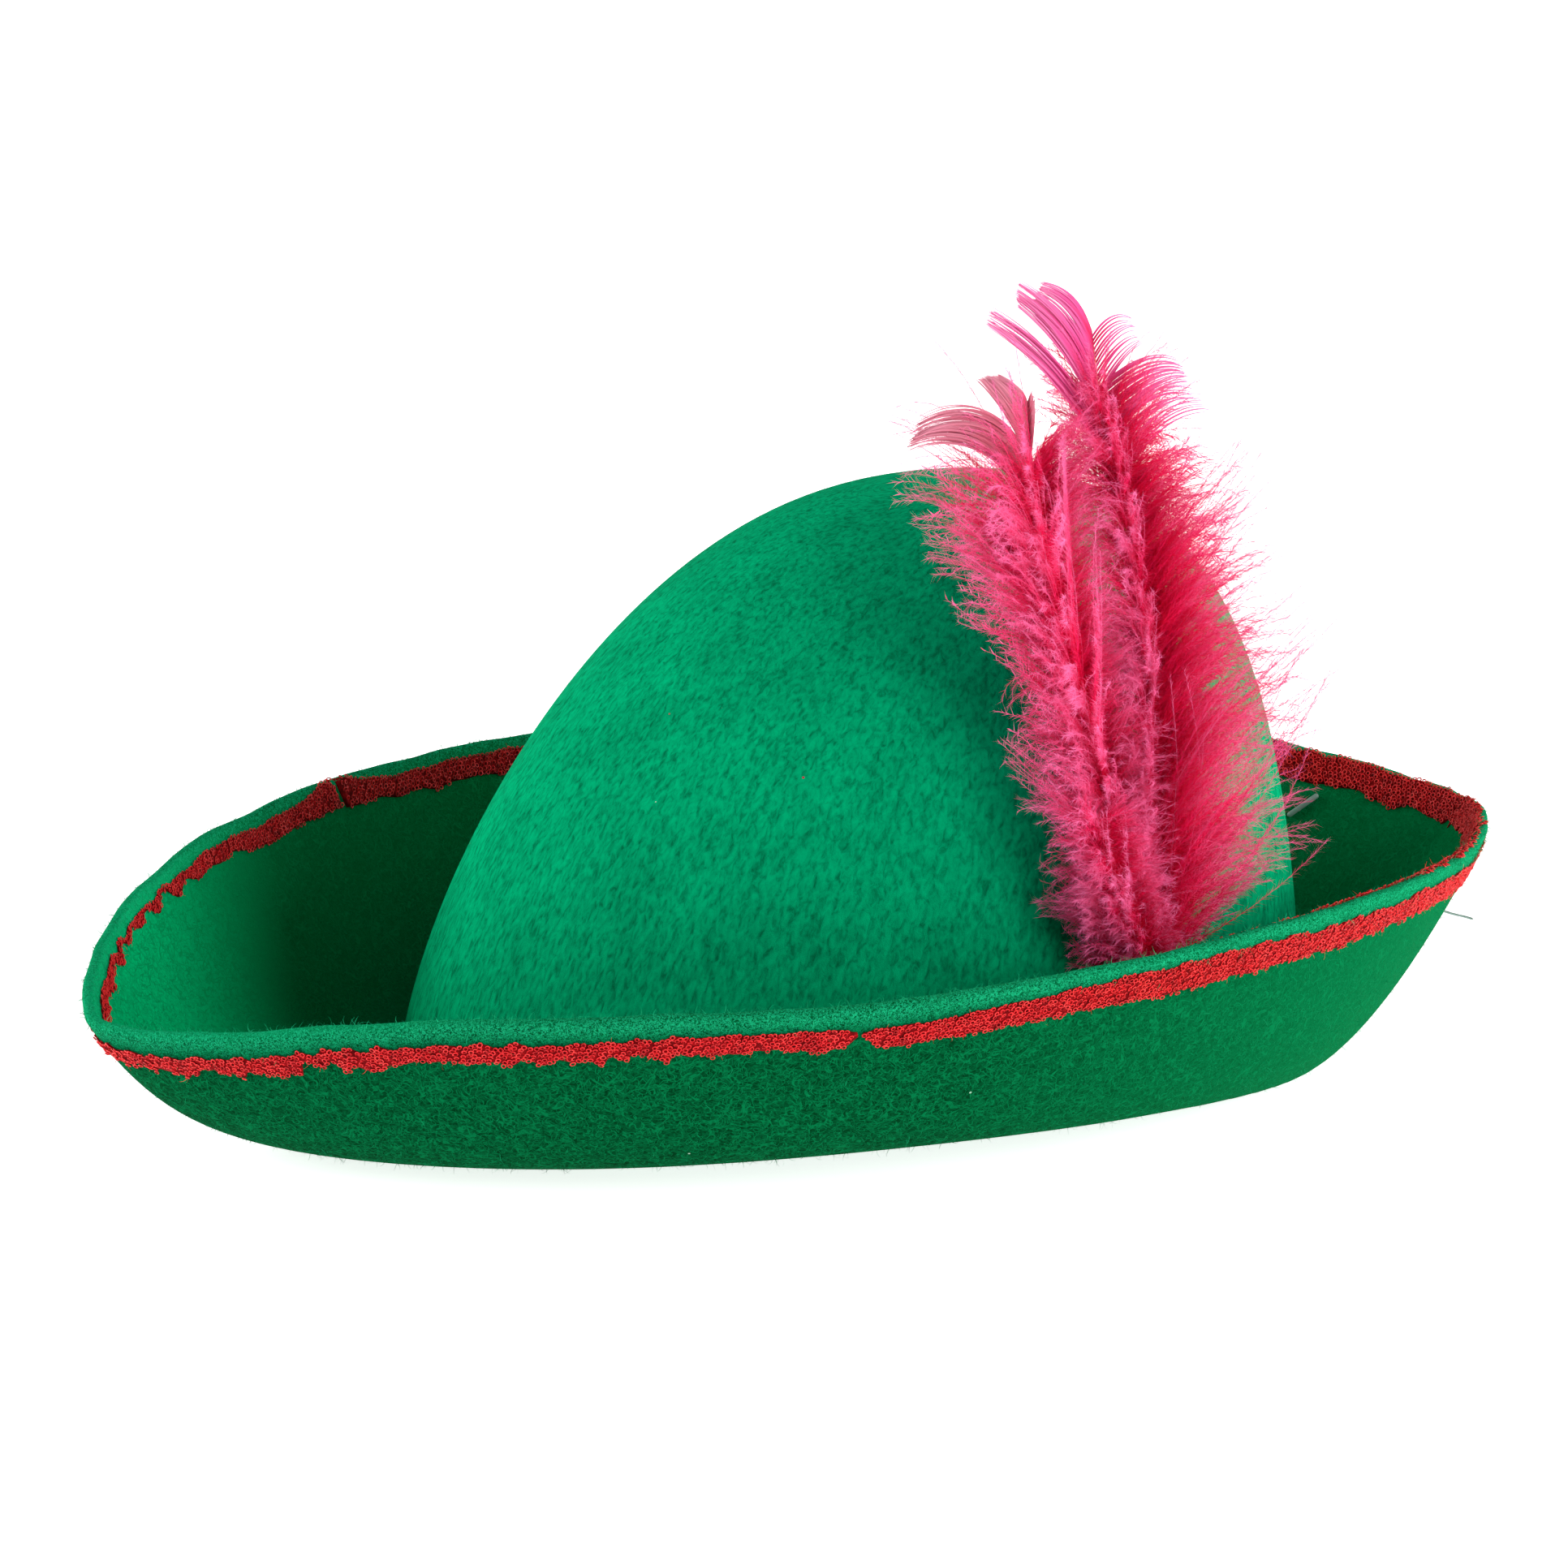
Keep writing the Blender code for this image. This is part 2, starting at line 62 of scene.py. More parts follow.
FELT_THICKNESS = 0.0028
LIP = FELT_THICKNESS / 2
BRIM_HALF_LENGTH = 0.1726
BRIM_HALF_WIDTH = 0.1128
BRIM_POINTEDNESS = 1.42
BRIM_TOWARDS_FRONT = 0.052
BRIM_ENDS_NARROWER = 0.02
EDGE_HEIGHT = 0.0535
EDGE_HIGHER_AT_BACK = 0.0047
EDGE_LOWER_AT_ENDS = 0.0148
EDGE_HIGHER_AT_RIGHT = 0.0035
OPENING_HALF_LENGTH = 0.1036
OPENING_HALF_WIDTH = 0.0815
OPENING_CENTRE_X = 0.0091
UNDERSIDE_RISE_AT_SIDES = 0.0067
UNDERSIDE_FALL_TO_ENDS = 0.0090
UNDERSIDE_FALL_TO_BACK = 0.0022
CREASE_RADIUS = 0.005
TURN_UP_SIDES = 2.17
TURN_UP_FRONT = 3.73
TURN_UP_BACK = 1.53
CROWN_HEIGHT = 0.1304
CROWN_TIP_BACKWARD = 0.0275
CROWN_FULLNESS = 1.48
CROWN_ROUNDNESS = 0.38
CROWN_TOP_WIDER = 0.1045

# Trim on the felt
OUTER_BRAID_JOINT = math.radians(-106.0)
INNER_BRAID_JOINT = math.radians(116.0)
BAND_ABOVE_CREASE = 0.004
BAND_WIDTH = 0.028
BAND_GAP = 0.00025
STITCH_ABOVE_BAND_EDGE = 0.003
STITCH_OFF_FELT = 0.00095
PIN_AZIMUTH = math.radians(26.0)
PIN_DEPTH = 0.0145
PIN_BAR_LENGTH = 0.0085
PIN_BAR_RADIUS = 0.00062
PIN_BAR_OFF_FELT = 0.00095
PIN_BAR_WAY = np.array((0.702, -0.386, 0.597))
PIN_FILAMENT_RADIUS = 0.00028

# Plume
PLUME_BASE = np.array((0.0345, -0.0847, 0.022))
PLUME_TURN = math.radians(5.0)
PLUME_LEAN = math.radians(7.0)
QUILL_LINES = {
    "left_feather": [
        (-1.3, 0, -7), (-1.3, 0, 7), (-3.4, 1, 19), (-4.2, 2, 33), (-7, 2, 54),
        (-12.7, 1, 79), (-18.4, 0, 105), (-19.9, 0, 128), (-20.2, 0, 140),
    ],
    "tall_feather": [
        (1.3, 0, -7), (1.3, 0, 7), (1.8, 1, 19), (3, 2, 42), (6.3, 1, 72),
        (6.5, 0, 91), (3.7, 0, 113), (-1, 0, 134), (-2.8, 0, 153),
    ],
    "short_feather": [
        (0, 1.7, -6), (0, 1.7, 7), (-1.5, 5, 15), (-5, 8.6, 24), (-11, 9.4, 36), (-16.5, 9.4, 50),
    ],
}
QUILL_RADII = {"left_feather": 0.9, "tall_feather": 1.0, "short_feather": 0.6}
# Barbs that lie against the crown stay this far off it
CROWN_GAP = 0.0012

# The plume's outline, across against height, in millimetres
OUTLINE_UP = np.array((8, 24, 37, 52, 60, 75, 85, 97, 104, 116, 124, 134, 150, 175))
OUTLINE_LEFT = np.array((-19, -24, -27, -26, -31, -31, -35, -42, -49, -53, -53, -53, -40, -30))
OUTLINE_RIGHT = np.array((18, 30, 46, 45, 45, 48, 45, 39, 38, 35, 27, 22, 16, 10))


# ---------------------------------------------------------------- helpers


def linear(code):
    """A colour given as sRGB hex, turned to linear light."""
    channels = [int(code[i:i + 2], 16) / 255 for i in (1, 3, 5)]
    return tuple(c / 12.92 if c <= 0.04045 else ((c + 0.055) / 1.055) ** 2.4 for c in channels)


def add_node(tree, kind, links=None, stops=None, **settings):
    """A node with its settings, its inputs linked to other nodes' outputs or set to values."""
    node = tree.nodes.new(kind)
    for name, value in settings.items():
        setattr(node, name, value)
    for socket, source in (links or {}).items():
        if isinstance(source, bpy.types.NodeSocket):
            tree.links.new(source, node.inputs[socket])
        else:
            node.inputs[socket].default_value = source
    if stops:
        ramp = node.color_ramp
        while len(ramp.elements) < len(stops):
            ramp.elements.new(1.0)
        for element, (place, colour) in zip(ramp.elements, stops):
            element.position = place
            element.color = (*colour[:3], 1.0)
    return node


def new_material(name, **constants):
    """A Principled material with its constant values set on the shader's own sockets."""
    material = bpy.data.materials.new(name)
    material.use_nodes = True
    shader = material.node_tree.nodes["Principled BSDF"]
    for socket, value in constants.items():
        shader.inputs[socket.replace("_", " ")].default_value = value
    return material, material.node_tree, shader


def dress(tree, shader, pattern, stops, relief=None, strength=0.0, depth=0.0):
    """Colours a shader by the stops along a pattern, and raises a pattern in relief, to a depth in metres."""
    colour = add_node(tree, "ShaderNodeValToRGB", {"Fac": pattern}, stops=stops)
    tree.links.new(colour.outputs[0], shader.inputs["Base Color"])
    if relief is not None:
        bump = add_node(tree, "ShaderNodeBump", {"Height": relief, "Strength": strength, "Distance": depth})
        tree.links.new(bump.outputs[0], shader.inputs["Normal"])


def unit(vectors):
    return vectors / np.maximum(np.linalg.norm(vectors, axis=-1, keepdims=True), 1e-12)


def smooth_steps(x):
    x = np.clip(x, 0.0, 1.0)
    return x * x * (3 - 2 * x)


def half_turns(angle):
    """The same angle, between half a turn back and half a turn on."""
    return (angle + math.pi) % (2 * math.pi) - math.pi


def bump_at(angle, centre, spread):
    """1 at an azimuth, falling to 0 a few spreads away."""
    return np.exp(-(half_turns(angle - centre) / spread) ** 2)


def unevenness(angle, waves, seed):
    """A smooth random line round the hat, about -1 to 1, with roughly this many waves."""
    rng = np.random.default_rng(seed)
    total = np.zeros_like(angle)
    for k in range(9):
        turns = max(1, round(waves * rng.uniform(0.45, 1.5)))
        total = total + np.sin(turns * angle + rng.uniform(0, 2 * math.pi))
    return total / 3.6


def make_mesh(name, points, faces, **attributes):
    """A smooth mesh of equal-sided faces, or of points only, with attributes on its points."""
    mesh = bpy.data.meshes.new(name)
    points = np.asarray(points, np.float32).reshape(-1, 3)
    mesh.vertices.add(len(points))
    mesh.vertices.foreach_set("co", points.ravel())
    if faces is not None and len(faces):
        faces = np.asarray(faces, np.int32)
        mesh.loops.add(faces.size)
        mesh.loops.foreach_set("vertex_index", faces.ravel())
        mesh.polygons.add(len(faces))
        starts = np.arange(0, faces.size, faces.shape[1], dtype=np.int32)
        mesh.polygons.foreach_set("loop_start", starts)
    mesh.update(calc_edges=True)
    store(mesh, attributes)
    if faces is not None and len(faces):
        mesh.shade_smooth()
    return mesh


def points_of(mesh):
    points = np.empty(len(mesh.vertices) * 3, np.float32)
    mesh.vertices.foreach_get("co", points)
    return points.reshape(-1, 3)


def move_points(mesh, points):
    mesh.vertices.foreach_set("co", points.astype(np.float32).ravel())


def store(mesh, attributes):
    for name, values in attributes.items():
        values = np.asarray(values, np.float32)
        if values.ndim == 2:
            mesh.attributes.new(name, "FLOAT_VECTOR", "POINT").data.foreach_set("vector", values.ravel())
        else:
            mesh.attributes.new(name, "FLOAT", "POINT").data.foreach_set("value", values)


def lines_mesh(name, lines, **attributes):
    """Open lines, each with the same count of points, as edges."""
    count, steps = lines.shape[:2]
    mesh = bpy.data.meshes.new(name)
    mesh.vertices.add(count * steps)
    mesh.vertices.foreach_set("co", np.asarray(lines, np.float32).ravel())
    first = (np.arange(count)[:, None] * steps + np.arange(steps - 1)[None]).ravel()
    mesh.edges.add(len(first))
    mesh.edges.foreach_set("vertices", np.stack([first, first + 1], axis=1).astype(np.int32).ravel())
    mesh.update()
    store(mesh, attributes)
    return mesh


def grid_faces(rows, columns, wraps):
    """Quads between neighbouring rows of points; wraps joins each row's end to its start."""
    i = np.arange(rows - 1)[:, None]
    j = np.arange(columns if wraps else columns - 1)[None]
    beside = (j + 1) % columns
    corners = (i * columns + j, i * columns + beside, (i + 1) * columns + beside, (i + 1) * columns + j)
    return np.stack(np.broadcast_arrays(*corners), axis=-1).reshape(-1, 4)


def place_piece(mesh, body, material=None, replaces=()):
    """Puts a finished mesh in the scene, riding on its body of the frame."""
    if material:
        mesh.materials.clear()
        mesh.materials.append(material)
    piece = bpy.data.objects.new(mesh.name, mesh)
    bpy.context.scene.collection.objects.link(piece)
    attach(piece, body)
    if replaces:
        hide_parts(*replaces)
    return piece


def grow(name, marks, tree, **inputs):
    """The plain mesh that a node tree makes from a mesh of marks."""
    holder = bpy.data.objects.new(name + "_marks", marks)
    bpy.context.scene.collection.objects.link(holder)
    modifier = holder.modifiers.new(tree.name, "NODES")
    modifier.node_group = tree
    for item in tree.interface.items_tree:
        if item.item_type == "SOCKET" and item.in_out == "INPUT" and item.name.replace(" ", "_") in inputs:
            modifier[item.identifier] = inputs[item.name.replace(" ", "_")]
    graph = bpy.context.evaluated_depsgraph_get()
    evaluated = holder.evaluated_get(graph)
    mesh = bpy.data.meshes.new_from_object(evaluated, preserve_all_data_layers=True, depsgraph=graph)
    holder.modifiers.clear()
    bpy.data.objects.remove(holder, do_unlink=True)
    bpy.data.meshes.remove(marks)
    mesh.name = name
    return mesh


def new_tree(name, **inputs):
    """A geometry tree with a mesh of marks in and a mesh out, and its sizes as named inputs."""
    tree = bpy.data.node_groups.new(name, "GeometryNodeTree")
    tree.interface.new_socket("Marks", in_out="INPUT", socket_type="NodeSocketGeometry")
    for label, value in inputs.items():
        kind = "NodeSocketInt" if isinstance(value, int) else "NodeSocketFloat"
        kind = "NodeSocketMaterial" if value is None else kind
        socket = tree.interface.new_socket(label.replace("_", " "), in_out="INPUT", socket_type=kind)
        if value is not None:
            socket.default_value = value
    tree.interface.new_socket("Mesh", in_out="OUTPUT", socket_type="NodeSocketGeometry")
    given = add_node(tree, "NodeGroupInput")
    return tree, given.outputs


def flat_section(tree, width, half):
    """A straight line as wide as an input, to sweep along a curve as a flat ribbon."""
    right_end = add_node(tree, "ShaderNodeMath", {0: width, 1: half}, operation="MULTIPLY")
    left_end = add_node(tree, "ShaderNodeMath", {0: right_end.outputs[0], 1: -1.0}, operation="MULTIPLY")
    right = add_node(tree, "ShaderNodeCombineXYZ", {"X": right_end.outputs[0]})
    left = add_node(tree, "ShaderNodeCombineXYZ", {"X": left_end.outputs[0]})
    line = add_node(tree, "GeometryNodeCurvePrimitiveLine", {
        "Start": left.outputs[0], "End": right.outputs[0],
    })
    return line.outputs[0]


def finish_tree(tree, geometry, material):
    """Realises what the tree made, smooths it, gives it its material and sends it out."""
    real = add_node(tree, "GeometryNodeRealizeInstances", {"Geometry": geometry})
    smooth = add_node(tree, "GeometryNodeSetShadeSmooth", {"Geometry": real.outputs["Geometry"]})
    dressed = add_node(tree, "GeometryNodeSetMaterial", {
        "Geometry": smooth.outputs["Geometry"], "Material": material,
    })
    add_node(tree, "NodeGroupOutput", {"Mesh": dressed.outputs["Geometry"]})


def euler_of(x, z):
    """Euler angles that turn the X and Z axes onto these directions."""
    z = unit(z)
    y = unit(np.cross(z, x))
    x = np.cross(y, z)
    return np.stack([
        np.arctan2(y[:, 2], z[:, 2]),
        -np.arcsin(np.clip(x[:, 2], -1, 1)),
        np.arctan2(x[:, 1], x[:, 0]),
    ], axis=1)


def tube_points(path, radii, sides):
    """Rings of points round a path."""
    path = np.asarray(path, float)
    radii = np.broadcast_to(radii, len(path))
    along = unit(np.gradient(path, axis=0))
    across = unit(np.cross(along, np.array((0.31, 0.95, 0.05))))
    other = np.cross(along, across)
    turns = np.linspace(0.0, 2 * math.pi, sides, endpoint=False)
    return (
        path[:, None]
        + radii[:, None, None] * np.cos(turns)[None, :, None] * across[:, None]
        + radii[:, None, None] * np.sin(turns)[None, :, None] * other[:, None]
    )


def tube_mesh(name, path, radii, sides):
    """A round bar along a path, closed to a point at each end."""
    path = np.asarray(path, float)
    radii = np.array(np.broadcast_to(radii, len(path)), float)
    radii[0] = radii[-1] = 1e-7
    mesh = make_mesh(name, tube_points(path, radii, sides), grid_faces(len(path), sides, True))
    merge_points(mesh)
    return mesh


def smooth_path(points, count):
    """Points at equal steps along a Catmull-Rom curve through the given points."""
    given = np.asarray(points, float)
    ends = np.vstack([2 * given[0] - given[1], given, 2 * given[-1] - given[-2]])
    curve = []
    for before, start, end, after in zip(ends[:-3], ends[1:-2], ends[2:-1], ends[3:]):
        for t in np.linspace(0.0, 1.0, 12, endpoint=False):
            curve.append(0.5 * (
                2 * start
                + (end - before) * t
                + (2 * before - 5 * start + 4 * end - after) * t**2
                + (3 * start - before - 3 * end + after) * t**3
            ))
    curve.append(given[-1])
    curve = np.array(curve)
    travelled = np.concatenate([[0.0], np.cumsum(np.linalg.norm(np.diff(curve, axis=0), axis=1))])
    return at_distances(curve, travelled, np.linspace(0.0, travelled[-1], count))


def at_distances(curve, travelled, distances):
    return np.stack([np.interp(distances, travelled, curve[:, k]) for k in range(3)], axis=-1)


def rounded_ends(path, radius):
    """A path with extra points at its ends, and the radii that round them off."""
    path = np.asarray(path, float)
    start = unit(path[1] - path[0])
    end = unit(path[-1] - path[-2])
    shares = (1.0, 0.85, 0.5)
    head = [path[0] - start * radius * s for s in shares]
    tail = [path[-1] + end * radius * s for s in reversed(shares)]
    caps = [math.sqrt(max(1 - s * s, 0)) * radius for s in shares]
    radii = np.array([*caps, *([radius] * len(path)), *reversed(caps)])
    return np.vstack([head, path, tail]), radii


# ---------------------------------------------------------------- the felt's middle surface


def edge_point(azimuth):
    """Points on the brim's edge."""
    c = np.cos(azimuth)
    s = np.sin(azimuth)
    across = np.sign(s) * np.abs(s) ** BRIM_POINTEDNESS
    width = BRIM_HALF_WIDTH * (1 - BRIM_TOWARDS_FRONT * c - BRIM_ENDS_NARROWER * c * c)
    height = (
        EDGE_HEIGHT
        + EDGE_HIGHER_AT_BACK * c
        - EDGE_LOWER_AT_ENDS * c**4
        + EDGE_HIGHER_AT_RIGHT * s
    )
    return np.stack([BRIM_HALF_LENGTH * c, across * width, height], axis=-1)


def crease_point(azimuth):
    """Points where the crown meets the brim, in the underside's surface."""
    c = np.cos(azimuth)
    rise = UNDERSIDE_RISE_AT_SIDES - UNDERSIDE_FALL_TO_ENDS * c * c - UNDERSIDE_FALL_TO_BACK * c
    return np.stack([
        OPENING_CENTRE_X + OPENING_HALF_LENGTH * c, OPENING_HALF_WIDTH * np.sin(azimuth), rise,
    ], axis=-1)


def turn_up_at(azimuth):
    c = np.cos(azimuth)
    end = np.where(c > 0, TURN_UP_BACK, TURN_UP_FRONT)
    return TURN_UP_SIDES * (1 - c * c) + end * c * c


def felt_profile(azimuth):
    """The middle of the felt from the crown's top to the brim's edge, with the crease rounded."""
    c = math.cos(azimuth)
    s = math.sin(azimuth)
    crease = crease_point(azimuth)
    edge = edge_point(azimuth)
    spread = np.sin(np.linspace(0.0, math.pi / 2, 90))
    height = (1 - spread ** (1 / CROWN_ROUNDNESS)) ** (1 / CROWN_FULLNESS)
    base = max(crease[2], 0.0) + LIP
    crown = np.stack([
        OPENING_CENTRE_X + CROWN_TIP_BACKWARD * height**1.5 + OPENING_HALF_LENGTH * spread * c,
        OPENING_HALF_WIDTH * spread * (1 + CROWN_TOP_WIDER * height) * s,
        base + (CROWN_HEIGHT - base) * height,
    ], axis=1)
    outward = np.linspace(0.0, 1.0, 90)
    brim = crease + (edge - crease) * outward[:, None]
    brim[:, 2] = crease[2] + (edge[2] - crease[2]) * outward ** float(turn_up_at(azimuth))
    brim[:, 2] = np.maximum(brim[:, 2], 0.0) + LIP
    corner = crown[-1]
    crown = crown[np.linalg.norm(crown - corner, axis=1) > CREASE_RADIUS]
    brim = brim[np.linalg.norm(brim - corner, axis=1) > CREASE_RADIUS]
    t = np.linspace(0.0, 1.0, 9)[1:-1, None]
    bend = crown[-1] * (1 - t) ** 2 + 2 * corner * t * (1 - t) + brim[0] * t**2
    return np.vstack([crown, bend, brim]), len(crown)


# How much was cut off the brim's edge on the left side, unevenly, by scissors: at these azimuths, in metres
CUT_AT = np.radians((-180, -168, -156, -144, -136, -120, -104, -96, -80, -64, -48, -38, -30, -20, -8, 180))
CUT = np.array((0.5, 1.9, 2.8, 1.6, 1.2, 2.3, 3.9, 2.5, 1.9, 2.3, 3.5, 4.3, 4.1, 2.0, 0.2, 0.5)) / 1000


def cut_lower(azimuth):
    """How much lower than the rest the edge was cut."""
    return np.interp(half_turns(azimuth), CUT_AT, CUT)


def felt_surface(azimuths, place):
    """Points and upward normals of the felt's middle. place gives distances from the crown's top.

    Hand-blocked felt isn't perfectly even, so the edge rises and falls and the brim sways a little.
    """
    sway = unevenness(azimuths, 7, 3) * 0.0006
    trimmed = 0.0002 + 0.0003 * (1 + unevenness(azimuths, 23, 5))
    points = []
    down_the_felt = []
    shares = []
    step = 0.0004
    for azimuth, short in zip(azimuths, np.clip(trimmed, 0.0, 0.001) + cut_lower(azimuths)):
        curve, crown_count = felt_profile(azimuth)
        travelled = np.concatenate([[0.0], np.cumsum(np.linalg.norm(np.diff(curve, axis=0), axis=1))])
        crease = travelled[crown_count + 3]
        end = travelled[-1] - short
        distances = place(azimuth, crease, end)
        points.append(at_distances(curve, travelled, distances))
        before = at_distances(curve, travelled, np.maximum(distances - step, 0.0))
        after = at_distances(curve, travelled, np.minimum(distances + step, travelled[-1]))
        down_the_felt.append(after - before)
        shares.append(np.clip((distances - crease) / (end - crease), 0.0, 1.0))
    points = np.array(points)
    round_the_hat = np.roll(points, -1, axis=0) - np.roll(points, 1, axis=0)
    normals = unit(np.cross(np.array(down_the_felt), round_the_hat))
    points = points + normals * (sway[:, None] * np.array(shares) ** 1.5)[..., None]
    return points, normals


def all_round(count):
    return np.linspace(0.0, 2 * math.pi, count, endpoint=False)


BRIM_STEP = 0.0005
BRIM_DEPTHS = np.arange(0.0, 0.0181, BRIM_STEP)
BRIM_COUNT = 900
BRIM_MIDDLE, BRIM_NORMAL = felt_surface(all_round(BRIM_COUNT), lambda azimuth, crease, end: end - BRIM_DEPTHS)
RIM_POINTS = BRIM_MIDDLE[:, 10]
RIM_TRAVELLED = np.concatenate([[0.0], np.cumsum(
    np.linalg.norm(np.diff(np.vstack([RIM_POINTS, RIM_POINTS[:1]]), axis=0), axis=1)
)])
RIM_LENGTH = RIM_TRAVELLED[-1]


def azimuth_along_rim(distance):
    """The azimuth at a distance walked round the rim from azimuth zero."""
    laps = np.floor(distance / RIM_LENGTH)
    table = np.linspace(0.0, 2 * math.pi, BRIM_COUNT + 1)
    return np.interp(distance - laps * RIM_LENGTH, RIM_TRAVELLED, table) + laps * 2 * math.pi


def rim_distance(azimuth):
    table = np.linspace(0.0, 2 * math.pi, BRIM_COUNT + 1)
    return np.interp(azimuth % (2 * math.pi), table, RIM_TRAVELLED)


def from_brim_table(table, azimuth, depth):
    place = (azimuth / (2 * math.pi) * BRIM_COUNT) % BRIM_COUNT
    i = np.floor(place).astype(int) % BRIM_COUNT
    k = np.clip(depth / BRIM_STEP, 0, len(BRIM_DEPTHS) - 1.001)
    j = np.floor(k).astype(int)
    p = (place - np.floor(place))[..., None]
    q = (k - j)[..., None]
    after = (i + 1) % BRIM_COUNT
    low = table[i, j] * (1 - p) + table[after, j] * p
    high = table[i, j + 1] * (1 - p) + table[after, j + 1] * p
    return low * (1 - q) + high * q


def on_brim(azimuth, depth, face, height):
    """Points over the brim's inner (1) or outer (-1) face, and the ways away from it, down it and round it.

    A depth of less than the lip's radius carries on round the rounded lip.
    """
    azimuth, depth, height = np.broadcast_arrays(azimuth, depth, height)
    seated = np.maximum(depth, LIP)
    middle = from_brim_table(BRIM_MIDDLE, azimuth, seated)
    normal = unit(from_brim_table(BRIM_NORMAL, azimuth, seated)) * face
    down = unit(from_brim_table(BRIM_MIDDLE, azimuth, seated + BRIM_STEP) - middle)
    turn = np.clip((LIP - depth) / LIP, 0.0, math.pi)[..., None]
    away = normal * np.cos(turn) - down * np.sin(turn)
    downwards = down * np.cos(turn) + normal * np.sin(turn)
    return middle + away * (LIP + height)[..., None], away, downwards, np.cross(away, downwards)


# ---------------------------------------------------------------- felt


